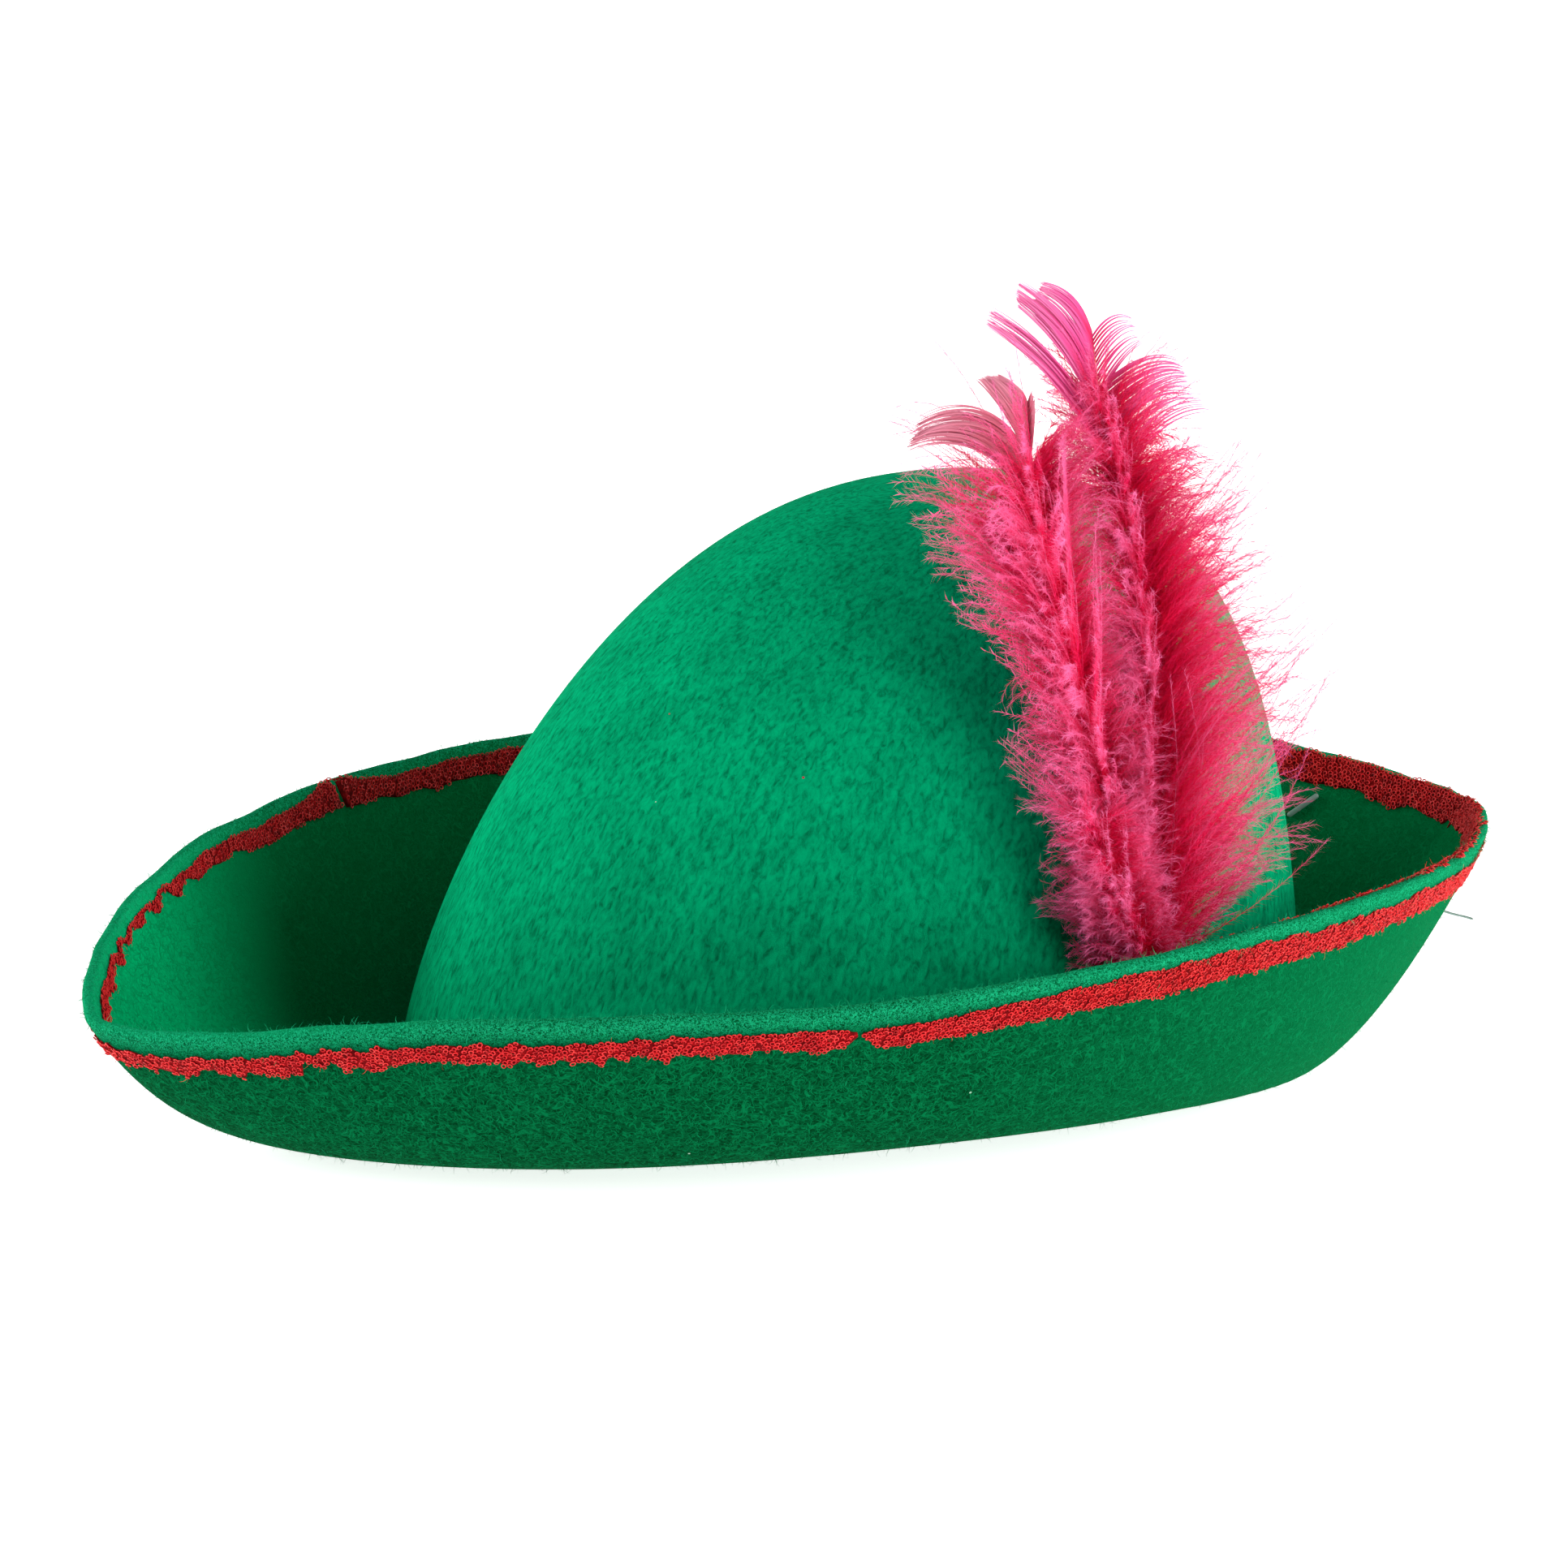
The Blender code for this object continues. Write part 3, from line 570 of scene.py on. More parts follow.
def felt_material(settings):
    """Wool-blend felt, needle-punched and blocked: matte, with matted curly fibres on the brim, and ridged
    and pitted down the crown where it was pulled over the block. The crown's pits get painted shade and its
    ridges a painted highlight, and the inside of the brim's front and the outer face towards the back get
    painted light."""
    material, tree, shader = new_material(
        "needle_punched_felt", Roughness=1.0, Specular_IOR_Level=0.01,
    )
    place = add_node(tree, "ShaderNodeTexCoord").outputs["Object"]
    grain = add_node(tree, "ShaderNodeAttribute", attribute_name="grain").outputs["Vector"]
    pressed = add_node(tree, "ShaderNodeAttribute", attribute_name="pressed").outputs["Fac"]
    lip = add_node(tree, "ShaderNodeAttribute", attribute_name="lip").outputs["Fac"]
    outside = add_node(tree, "ShaderNodeAttribute", attribute_name="outside").outputs["Fac"]
    # Dye takes unevenly: patches about 15 mm across
    patches = add_node(tree, "ShaderNodeTexNoise", {"Vector": place, "Scale": 65.0, "Detail": 3.0})
    # Ridges 1.4 mm apart that run down the crown
    ridges = add_node(tree, "ShaderNodeTexNoise", {
        "Vector": grain, "Scale": 780.0, "Detail": 3.0, "Roughness": 0.65, "Distortion": 0.5,
    })
    # Matted fibres, 2 to 4 mm curls: the lines where a noise crosses its middle value
    curls = []
    for scale, width in ((210.0, 0.026), (290.0, 0.030), (430.0, 0.040)):
        field = add_node(tree, "ShaderNodeTexNoise", {
            "Vector": place, "Scale": scale, "Detail": 1.5, "Distortion": 1.1,
        })
        off = add_node(tree, "ShaderNodeMath", {0: field.outputs["Fac"], 1: 0.5}, operation="SUBTRACT")
        gap = add_node(tree, "ShaderNodeMath", {0: off.outputs[0]}, operation="ABSOLUTE")
        line = add_node(tree, "ShaderNodeMapRange", {
            "Value": gap.outputs[0], "From Min": 0.0, "From Max": width, "To Min": 1.0, "To Max": 0.0,
        }, interpolation_type="SMOOTHSTEP")
        curls.append(line.outputs[0])
    upper = add_node(tree, "ShaderNodeMath", {0: curls[0], 1: curls[1]}, operation="MAXIMUM")
    matted = add_node(tree, "ShaderNodeMath", {0: upper.outputs[0], 1: curls[2]}, operation="MAXIMUM")
    # Tufts 1 mm across, lighter where the fibres lie together
    tufts = add_node(tree, "ShaderNodeTexNoise", {
        "Vector": place, "Scale": 1000.0, "Detail": 2.0, "Distortion": 1.0,
    })
    clumped = add_node(tree, "ShaderNodeMapRange", {
        "Value": tufts.outputs["Fac"], "From Min": 0.35, "From Max": 0.7, "To Min": 0.0, "To Max": 0.55,
    })
    felted = add_node(tree, "ShaderNodeMath", {
        0: matted.outputs[0], 1: clumped.outputs[0],
    }, operation="MAXIMUM")
    # Single fibres, drawn 0.3 mm apart, as fine as the eye still sees
    nap = add_node(tree, "ShaderNodeTexNoise", {
        "Vector": place, "Scale": 2600.0, "Detail": 2.0, "Distortion": 1.2,
    })
    along = add_node(tree, "ShaderNodeSeparateXYZ", {"Vector": place})
    deep = add_node(tree, "ShaderNodeMixRGB", {
        "Fac": patches.outputs["Fac"],
        "Color1": (*settings.brim_colour, 1), "Color2": (*settings.brim_light, 1),
    })
    # Inside the front of the brim the felt gets painted light: its colour is lighter towards the front
    painted_light_at_front = add_node(tree, "ShaderNodeMapRange", {
        "Value": along.outputs["X"], "From Min": -0.095, "From Max": -0.145,
    })
    inner = add_node(tree, "ShaderNodeMixRGB", {
        "Fac": painted_light_at_front.outputs[0], "Color1": deep.outputs[0], "Color2": (*settings.inner_painted_light_colour, 1),
    })
    # The outer face gets painted light: its colour is lighter towards the back
    painted_light_at_back = add_node(tree, "ShaderNodeMapRange", {
        "Value": along.outputs["X"], "From Min": -0.02, "From Max": 0.15,
    })
    face = add_node(tree, "ShaderNodeMixRGB", {
        "Fac": painted_light_at_back.outputs[0],
        "Color1": (*settings.outer_colour, 1), "Color2": (*settings.outer_painted_light_colour, 1),
    })
    brim = add_node(tree, "ShaderNodeMixRGB", {
        "Fac": outside, "Color1": inner.outputs[0], "Color2": face.outputs[0],
    })
    strength = add_node(tree, "ShaderNodeMath", {0: felted.outputs[0], 1: 0.75}, operation="MULTIPLY")
    fibred = add_node(tree, "ShaderNodeMixRGB", {
        "Fac": strength.outputs[0], "Color1": brim.outputs[0], "Color2": (*settings.fibre_colour, 1),
    })
    # Painted shade in the crown's pits and a painted highlight on its ridges, along the pattern that raises
    # them
    depth = add_node(tree, "ShaderNodeValToRGB", {"Fac": ridges.outputs["Fac"]}, stops=[
        (0.30, settings.crown_pit_shade), (0.49, settings.crown_colour), (0.66, settings.crown_light),
    ])
    cloudy = add_node(tree, "ShaderNodeMapRange", {
        "Value": patches.outputs["Fac"], "From Min": 0.3, "From Max": 0.7, "To Min": 0.86, "To Max": 1.1,
    })
    crown = add_node(tree, "ShaderNodeMixRGB", {
        "Fac": 1.0, "Color1": depth.outputs[0], "Color2": cloudy.outputs[0],
    }, blend_type="MULTIPLY")
    body = add_node(tree, "ShaderNodeMixRGB", {
        "Fac": pressed, "Color1": fibred.outputs[0], "Color2": crown.outputs[0],
    })
    # The lip catches wear and light, so its fibres stand up paler
    nap_light = add_node(tree, "ShaderNodeMapRange", {
        "Value": nap.outputs["Fac"], "From Min": 0.42, "From Max": 0.60, "To Min": 0.0, "To Max": 0.8,
    })
    worn = add_node(tree, "ShaderNodeMath", {0: nap_light.outputs[0], 1: lip}, operation="MULTIPLY")
    edged = add_node(tree, "ShaderNodeMixRGB", {
        "Fac": worn.outputs[0], "Color1": body.outputs[0], "Color2": (*settings.lip_colour, 1),
    })
    # Lint: specks of 0.3 mm, one in every few square centimetres
    cells = add_node(tree, "ShaderNodeTexVoronoi", {"Vector": place, "Scale": 130.0})
    near = add_node(tree, "ShaderNodeMath", {0: cells.outputs["Distance"], 1: 0.035}, operation="LESS_THAN")
    pick = add_node(tree, "ShaderNodeSeparateColor", {"Color": cells.outputs["Color"]})
    few = add_node(tree, "ShaderNodeMath", {0: pick.outputs["Red"], 1: 0.80}, operation="GREATER_THAN")
    lint = add_node(tree, "ShaderNodeMath", {0: near.outputs[0], 1: few.outputs[0]}, operation="MULTIPLY")
    lint_colour = add_node(tree, "ShaderNodeValToRGB", {"Fac": pick.outputs["Green"]}, stops=[
        (0.3, linear("#a63a48")), (0.5, linear("#b9c9bd")), (0.9, linear("#8cc8a4")),
    ])
    speckled = add_node(tree, "ShaderNodeMixRGB", {
        "Fac": lint.outputs[0], "Color1": edged.outputs[0], "Color2": lint_colour.outputs[0],
    })
    tree.links.new(speckled.outputs[0], shader.inputs["Base Color"])
    # Relief: ridges on the crown, matted fibres on the brim, single fibres over both
    relief = add_node(tree, "ShaderNodeMix", {
        "Factor": pressed, 2: felted.outputs[0], 3: ridges.outputs["Fac"],
    }, data_type="FLOAT")
    coarse = add_node(tree, "ShaderNodeBump", {
        "Height": relief.outputs[0], "Strength": 0.4, "Distance": 0.0005,
    })
    fine = add_node(tree, "ShaderNodeBump", {
        "Height": nap.outputs["Fac"], "Strength": 0.5, "Distance": 0.00025, "Normal": coarse.outputs[0],
    })
    tree.links.new(fine.outputs[0], shader.inputs["Normal"])
    return material


CROWN_ROWS = 58
ROWS_NEAR_EDGE = np.array((12.0, 10.5, 9.0, 7.8, 6.6, 5.5, 4.5, 3.6, 2.8, 2.0, LIP * 1000)) / 1000


def felt_rows(azimuth, crease, end):
    """Distances of the body's rows of points from the crown's top, closer together towards the lip."""
    crown = crease * np.linspace(0.012, 1.0, CROWN_ROWS)
    near_edge = end - ROWS_NEAR_EDGE
    turn_up = crease + (near_edge[0] - crease) * np.linspace(0.0, 1.0, 27)[1:-1]
    return np.concatenate([crown, turn_up, near_edge])


def make_felt_body(settings):
    """The crown and brim in one blank of felt, with its rolled lip."""
    count = 420
    azimuths = all_round(count)
    middle, normals = felt_surface(azimuths, felt_rows)
    rows = middle.shape[1]
    down = unit(middle[:, -1] - middle[:, -2])
    upper = middle + normals * LIP
    lower = middle - normals * LIP
    lower[..., 2] = np.maximum(lower[..., 2], 0.0)
    lumps = 1 + 0.10 * unevenness(azimuths, 60, 8)
    turns = np.linspace(0.0, math.pi, 8)[1:-1]
    lip = [
        middle[:, -1] + (normals[:, -1] * math.cos(t) + down * math.sin(t) * lumps[:, None]) * LIP
        for t in turns
    ]
    # Inside the crown every third row is enough
    inner_rows = [k for k in reversed(range(rows)) if k >= CROWN_ROWS or k % 3 == 0]
    top = np.array((OPENING_CENTRE_X + CROWN_TIP_BACKWARD, 0.0, CROWN_HEIGHT))
    points = np.array([
        np.repeat([top + (0, 0, LIP)], count, axis=0), *(upper[:, k] for k in range(rows)), *lip,
        *(lower[:, k] for k in inner_rows), np.repeat([top - (0, 0, LIP)], count, axis=0),
    ])
    # Where each ring of points lies along the felt: 0 at the crown's top, 1 at the crease, 2 at the lip
    brim_rows = rows - CROWN_ROWS
    brim_places = 1 + np.arange(1, brim_rows + 1) / brim_rows
    upper_places = np.concatenate([np.linspace(0, 1, CROWN_ROWS), brim_places])
    places = np.concatenate([
        [0.0], upper_places, np.full(len(lip), 2.0), upper_places[inner_rows], [0.0],
    ])
    pressed = np.repeat(smooth_steps((1.04 - places) / 0.14), count)
    lipped = np.repeat(smooth_steps((places - 1.80) / 0.2), count)
    round_the_lip = np.linspace(0.0, 1.0, len(lip) + 2)[1:-1]
    outside = np.repeat(np.concatenate([
        np.zeros(rows + 1), round_the_lip, np.ones(len(inner_rows) + 1),
    ]), count)
    radius = np.linalg.norm(points[..., :2] - np.array((OPENING_CENTRE_X + 0.01, 0.0)), axis=-1)
    # The ridges run down the crown, so their pattern is wound round it and stretched down it
    full = 0.085
    reach = full * (np.minimum(radius, 0.2) / full) ** 0.7
    travelled = np.concatenate([[0.0], np.cumsum(np.linalg.norm(np.diff(points[:, 0], axis=0), axis=1))])
    grain = np.stack([
        reach * np.cos(azimuths)[None], reach * np.sin(azimuths)[None],
        np.broadcast_to(travelled[:, None] * 0.42, radius.shape),
    ], axis=-1).reshape(-1, 3)
    mesh = make_mesh(
        "felt_hat_body", points, grid_faces(len(points), count, True),
        pressed=pressed, lip=lipped, grain=grain, outside=outside,
    )
    merge_points(mesh)
    return place_piece(mesh, "hat", felt_material(settings), ["felt_body"])


def closed_ends(sections):
    """Rings of points along a strip, with a ring drawn together to one point at each end."""
    sides = sections.shape[1]
    first, last = (
        np.repeat(end.mean(axis=1, keepdims=True), sides, axis=1) for end in (sections[:1], sections[-1:])
    )
    return np.concatenate([first, sections, last])


def merge_points(mesh):
    """Welds points that coincide, as at a pole, and turns the faces outwards."""
    shell = bmesh.new()
    shell.from_mesh(mesh)
    bmesh.ops.remove_doubles(shell, verts=shell.verts, dist=1e-6)
    bmesh.ops.recalc_face_normals(shell, faces=shell.faces)
    shell.to_mesh(mesh)
    shell.free()


# ---------------------------------------------------------------- loose fibres


def fibre_tree():
    """Curled single fibres standing on marks that hold their turn and size."""
    tree, given = new_tree("loose_fibres", Width=0.00007, Material=None)
    curl = add_node(tree, "GeometryNodeCurveQuadraticBezier", {
        "Resolution": 5, "Start": (0, 0, 0), "Middle": (0.25, 0.1, 0.75), "End": (0.95, -0.1, 0.8),
    })
    # The curl is 1 long and about a millimetre once its mark has sized it, so the width is given as much more
    edge = flat_section(tree, given["Width"], 500.0)
    along = add_node(tree, "GeometryNodeSplineParameter")
    thin = add_node(tree, "ShaderNodeMapRange", {
        "Value": along.outputs["Factor"], "To Min": 1.0, "To Max": 0.25,
    })
    ribbon = add_node(tree, "GeometryNodeCurveToMesh", {
        "Curve": curl.outputs[0], "Profile Curve": edge, "Scale": thin.outputs[0],
    })
    stand_on_marks(tree, given, ribbon.outputs[0])
    return tree


def stand_on_marks(tree, given, shape):
    """Sets a shape on every mark at the turn and size that the mark holds."""
    turn = add_node(tree, "GeometryNodeInputNamedAttribute", {"Name": "turn"}, data_type="FLOAT_VECTOR")
    size = add_node(tree, "GeometryNodeInputNamedAttribute", {"Name": "size"}, data_type="FLOAT_VECTOR")
    facing = add_node(tree, "FunctionNodeEulerToRotation", {"Euler": turn.outputs[0]})
    stood = add_node(tree, "GeometryNodeInstanceOnPoints", {
        "Points": given["Marks"], "Instance": shape, "Rotation": facing.outputs[0], "Scale": size.outputs[0],
    })
    finish_tree(tree, stood.outputs[0], given["Material"])


def fibre_material(name, dark, light):
    """A dyed fibre pulled loose from its cloth: matte, paler where light passes through it."""
    material, tree, shader = new_material(name, Roughness=0.9, Specular_IOR_Level=0.1)
    tone = add_node(tree, "ShaderNodeAttribute", attribute_name="tone").outputs["Fac"]
    dress(tree, shader, tone, [(0.0, dark), (1.0, light)])
    return material


def fibre_marks(points, away, rng, length, lean, tones=(0.0, 1.0)):
    """Marks for fibres that lean over by up to an angle, each turned its own way."""
    count = len(points)
    side = unit(np.cross(away, rng.normal(size=(count, 3))))
    tilt = rng.uniform(0.1, 1.0, count)[:, None] * lean
    stem = unit(away * np.cos(tilt) + side * np.sin(tilt))
    spin = unit(np.cross(stem, rng.normal(size=(count, 3))))
    size = rng.uniform(0.5, 1.3, count)[:, None] * length * np.ones(3)
    return {"turn": euler_of(spin, stem), "size": size, "tone": rng.uniform(*tones, count)}


def make_felt_fibres(settings):
    """Fibres that stand off the lip, lie over the outer face and roughen the crown and the underside."""
    rng = np.random.default_rng(11)
    parts = []
    # The lip: fibres to 2.5 mm
    count = settings.lip_fibres
    azimuth = azimuth_along_rim(rng.uniform(0, RIM_LENGTH, count))
    points, away, _, _ = on_brim(azimuth, rng.uniform(-0.0025, 0.0035, count), -1, np.full(count, -0.00015))
    parts.append((points, fibre_marks(points, away, rng, 0.0014, 1.5, (0.3, 1.0))))
    # Both faces of the brim and the crown: fibres that lie almost flat
    middle, normals = felt_surface(all_round(360), lambda a, crease, end: np.concatenate([
        crease * np.linspace(0.02, 1, 60), crease + (end - crease) * np.linspace(0.02, 1, 40),
    ]))
    for face, count, rows, length in (
        (-1, settings.brim_fibres, (62, 98), 0.0013),
        (1, settings.crown_fibres, (0, 58), 0.0010),
    ):
        i = rng.integers(0, 360, count)
        j = rng.integers(rows[0], rows[1], count)
        shift = rng.uniform(0, 1, (count, 2))
        near = middle[i, j]
        beside = middle[(i + 1) % 360, j] - near
        above = middle[i, np.maximum(j - 1, 0)] - near
        here = near + beside * shift[:, :1] + above * shift[:, 1:]
        away = normals[i, j] * face
        here = here + away * (LIP - 0.0001)
        here[:, 2] = np.maximum(here[:, 2], 0.0003)
        parts.append((here, fibre_marks(here, away, rng, length, 1.45, (0.0, 0.45))))
    points = np.vstack([part[0] for part in parts])
    marks = {key: np.concatenate([part[1][key] for part in parts]) for key in ("turn", "size", "tone")}
    material = fibre_material("loose_wool_fibre", settings.brim_light, settings.lip_colour)
    mesh = make_mesh("felt_fibres", points, None, **marks)
    grown = grow("felt_fibres", mesh, fibre_tree(), Width=settings.fibre_width, Material=material)
    # Fibres bend up where they would go through the table
    points = points_of(grown)
    points[:, 2] = np.maximum(points[:, 2], 0.0001)
    move_points(grown, points)
    return place_piece(grown, "hat")


# ---------------------------------------------------------------- braid


def outer_braid_edges(azimuth):
    """Depth of the outer braid's top edge, and its width.

    It's ragged where it was stretched round the front.
    """
    c = np.cos(azimuth)
    front = smooth_steps((-c - 0.15) / 0.5)
    rough = 0.0003 + 0.0010 * front
    top = 0.0041 - 0.0012 * c + rough * 0.5 * unevenness(azimuth, 110, 21)
    top = top + 0.0004 * unevenness(azimuth, 12, 22)
    ragged = 0.8 * unevenness(azimuth, 60, 23) + 0.5 * unevenness(azimuth, 170, 24)
    width = 0.0058 + 0.0009 * c + rough * ragged
    joint = bump_at(azimuth, OUTER_BRAID_JOINT, math.radians(0.8))
    after = smooth_steps(half_turns(azimuth - OUTER_BRAID_JOINT) / 0.02 + 0.5)
    top = top + 0.0008 * joint + 0.0007 * after * bump_at(azimuth, OUTER_BRAID_JOINT, math.radians(14))
    # Steps about 6 mm long in its top edge on the left side, where loops of the knit pulled back
    steps = np.sign(unevenness(azimuth, 70, 27)) * 0.00035 * bump_at(azimuth, math.radians(-62), 0.75)
    higher = 0.0018 * bump_at(azimuth, math.radians(-79), 0.24)
    return top + steps - higher, np.maximum(width - steps + 0.8 * higher - 0.0036 * joint, 0.0016)


def inner_braid_edges(azimuth):
    """The same for the inner braid, which laps over the lip at its joint and at the back."""
    c = np.cos(azimuth)
    back = smooth_steps((c - 0.55) / 0.35)
    narrow = bump_at(azimuth, math.radians(148), math.radians(13))
    joint = bump_at(azimuth, INNER_BRAID_JOINT, math.radians(3.0))
    rough = 0.0004 + 0.0009 * narrow + 0.0004 * back
    peeps = bump_at(azimuth, math.radians(-48), 0.5)
    top = 0.0026 - 0.0010 * c - 0.0012 * back - 0.0034 * joint + rough * 0.7 * unevenness(azimuth, 80, 31)
    top = top - peeps * (0.0022 + 0.0009 * unevenness(azimuth, 50, 35))
    width = 0.0062 + 0.0020 * c - 0.0022 * narrow + 0.0026 * joint + rough * 1.2 * unevenness(azimuth, 70, 33)
    return top, np.maximum(width, 0.0018)


def braid_material(settings):
    """Soft acrylic yarn, dyed red and knitted in small loops: matte, and paler on some loops."""
    material, tree, shader = new_material("looped_acrylic_yarn", Roughness=0.5, Specular_IOR_Level=0.35)
    place = add_node(tree, "ShaderNodeTexCoord").outputs["Object"]
    tone = add_node(tree, "ShaderNodeAttribute", attribute_name="tone").outputs["Fac"]
    # Fibre ends along the yarn, 0.25 mm apart
    fuzz = add_node(tree, "ShaderNodeTexNoise", {"Vector": place, "Scale": 2800.0, "Detail": 2.0})
    both = add_node(tree, "ShaderNodeMath", {0: tone, 1: fuzz.outputs["Fac"]}, operation="ADD")
    half = add_node(tree, "ShaderNodeMath", {0: both.outputs[0], 1: 0.5}, operation="MULTIPLY")
    stops = [(0.12, settings.yarn_dark), (0.45, settings.yarn_colour), (0.88, settings.yarn_light)]
    dress(tree, shader, half.outputs[0], stops, fuzz.outputs["Fac"], 0.6, 0.00015)
    return material


def ground_material(settings):
    """The knitted ground between the loops, which stays in their shade."""
    material, tree, shader = new_material("knitted_yarn_ground", Roughness=0.9, Specular_IOR_Level=0.1)
    place = add_node(tree, "ShaderNodeTexCoord").outputs["Object"]
    knots = add_node(tree, "ShaderNodeTexVoronoi", {"Vector": place, "Scale": 900.0})
    # Knots of yarn 1.1 mm apart
    stops = [(0.05, settings.yarn_dark), (0.8, tuple(0.35 * v for v in settings.yarn_dark))]
    dress(tree, shader, knots.outputs["Distance"], stops, knots.outputs["Distance"], 0.8, 0.0003)
    return material


def loop_tree():
    """Small closed loops of yarn standing on marks that hold their turn and size."""
    tree, given = new_tree("yarn_loops", Loop_Radius=0.00048, Yarn_Radius=0.00016, Material=None)
    ring = add_node(tree, "GeometryNodeCurvePrimitiveCircle", {
        "Resolution": 7, "Radius": given["Loop Radius"],
    })
    yarn = add_node(tree, "GeometryNodeCurvePrimitiveCircle", {
        "Resolution": 3, "Radius": given["Yarn Radius"],
    })
    loop = add_node(tree, "GeometryNodeCurveToMesh", {
        "Curve": ring.outputs[0], "Profile Curve": yarn.outputs[0],
    })
    stand_on_marks(tree, given, loop.outputs[0])
    return tree


def loop_marks(face, joint, edges, settings, seed):
    """A mark for each loop of a braid, in staggered rows down its width."""
    rng = np.random.default_rng(seed)
    pitch = settings.loop_pitch
    row_pitch = pitch * 0.84
    start = float(rim_distance(joint)) + 0.0008
    steps = int((RIM_LENGTH - 0.0016) / pitch)
    where = []
    for row in range(10):
        distance = start + (np.arange(steps) + 0.5 * (row % 2)) * pitch + rng.normal(0, 0.00013, steps)
        azimuth = azimuth_along_rim(distance)
        top, width = edges(azimuth)
        down = (row + 0.5) * row_pitch + rng.normal(0, 0.00012, steps)
        kept = down < width - row_pitch * rng.uniform(0.15, 0.5, steps)
        where.append(np.stack([azimuth[kept], (top + down)[kept]], axis=1))
    where = np.vstack(where)
    count = len(where)
    height = rng.uniform(0.00030, 0.00062, count)
    points, away, down, around = on_brim(where[:, 0], where[:, 1], face, height)
    lean = rng.normal(0.15, 0.14, count)[:, None]
    sideways = rng.normal(0.0, 0.15, count)[:, None]
    axis = unit(away * np.cos(lean) + down * np.sin(lean) + around * np.sin(sideways))
    spin = rng.uniform(0, 2 * math.pi, count)[:, None]
    first = down * np.cos(spin) + around * np.sin(spin)
    size = np.stack([rng.uniform(0.9, 1.2, count), rng.uniform(0.85, 1.05, count), np.ones(count)], axis=1)
    clouds = 0.5 + 0.22 * unevenness(where[:, 0], 90, seed + 1)
    tone = np.clip(clouds + rng.normal(0, 0.22, count), 0, 1)
    return points, {"turn": euler_of(first, axis), "size": size, "tone": tone}, away


def make_braid(name, node, face, joint, edges, settings, seed):
    """One length of braid: its knitted ground, the loops on it and its loose fibre ends."""
    azimuths = joint + np.linspace(math.radians(0.2), 2 * math.pi - math.radians(0.2), 900)
    top, width = edges(azimuths)
    inset = 0.0004
    lift = 0.00005
    shares = np.array((0.0, 0.25, 0.5, 0.75, 1.0))
    depths = (top + inset)[:, None] + (width - 2 * inset)[:, None] * shares[None]
    thick = 0.00035 * np.array((0.3, 1, 1, 1, 0.3))
    near = on_brim(azimuths[:, None], depths, face, np.full(depths.shape, lift))[0]
    far = on_brim(azimuths[:, None], depths, face, lift + np.broadcast_to(thick, depths.shape))[0]
    sections = closed_ends(np.concatenate([near, far[:, ::-1]], axis=1))
    ground = make_mesh(name + "_ground", sections, grid_faces(len(sections), sections.shape[1], True))
    merge_points(ground)
    place_piece(ground, "hat", ground_material(settings), [node])
    points, marks, away = loop_marks(face, joint, edges, settings, seed)
    mesh = make_mesh(name + "_loops", points, None, **marks)
    loops = grow(
        name + "_loops", mesh, loop_tree(),
        Loop_Radius=settings.loop_radius, Yarn_Radius=settings.yarn_radius, Material=braid_material(settings),
    )
    place_piece(loops, "hat")
    rng = np.random.default_rng(seed + 5)
    chosen = rng.choice(len(points), settings.loose_ends)
    ends = fibre_marks(points[chosen], away[chosen], rng, 0.0012, 1.4)
    mesh = make_mesh(name + "_ends", points[chosen], None, **ends)
    material = fibre_material("loose_yarn_fibre", settings.yarn_colour, settings.yarn_light)
    place_piece(
        grow(name + "_ends", mesh, fibre_tree(), Width=0.00008, Material=material), "hat",
    )


# ---------------------------------------------------------------- plume


def plume_axes():
    """Along the crown, out from the crown and up the plume."""
    across = np.array((math.cos(PLUME_TURN), math.sin(PLUME_TURN), 0.0))
    level_out = np.array((math.sin(PLUME_TURN), -math.cos(PLUME_TURN), 0.0))
    straight_up = np.array((0.0, 0.0, 1.0))
    up = straight_up * math.cos(PLUME_LEAN) - level_out * math.sin(PLUME_LEAN)
    out = level_out * math.cos(PLUME_LEAN) + straight_up * math.sin(PLUME_LEAN)
    return np.array((across, out, up))


def on_plume(places):
    """Points of the plume from their distances across, out and up, in millimetres."""
    return PLUME_BASE + np.asarray(places, float) @ plume_axes() / 1000


def keep_clear(points, gap):
    """Barbs that would enter the crown lie a gap off it, and those that would enter the brim against it."""
    x, y, z = points[..., 0], points[..., 1], points[..., 2]
    height = np.clip((z - 0.006) / (CROWN_HEIGHT - 0.006), 0.0, 1.0)
    spread = (1 - height**CROWN_FULLNESS) ** CROWN_ROUNDNESS
    margin = LIP + gap
    long = OPENING_HALF_LENGTH * spread + margin
    wide = OPENING_HALF_WIDTH * spread * (1 + CROWN_TOP_WIDER * height) + margin
    off = (x - OPENING_CENTRE_X - CROWN_TIP_BACKWARD * height**1.5) / long
    wall = -wide * np.sqrt(np.clip(1 - off**2, 0.0, 1.0))
    y = np.where((z < CROWN_HEIGHT + LIP) & (np.abs(off) < 1), np.minimum(y, wall), y)
    azimuth = -np.arccos(np.clip((x - 0.006) / 0.135, -1, 1))
    crease = crease_point(azimuth)
    edge = edge_point(azimuth)
    rise = np.clip((z - LIP - crease[..., 2]) / (edge[..., 2] - crease[..., 2]), 0.02, 1.0)
    outward = rise ** (1 / turn_up_at(azimuth))
    brim = crease[..., 1] + (edge[..., 1] - crease[..., 1]) * outward + LIP + 0.0022
    limit = np.where(z < edge[..., 2] + 0.003, np.minimum(brim, wall), -1.0)
    y = np.maximum(y, limit)
    return np.stack([x, y, z], axis=-1)


def quill_at(feather, up):
    line = np.array(QUILL_LINES[feather], float)
    return np.stack([
        np.interp(up, line[:, 2], line[:, 0]), np.interp(up, line[:, 2], line[:, 1]), up,
    ], axis=-1)


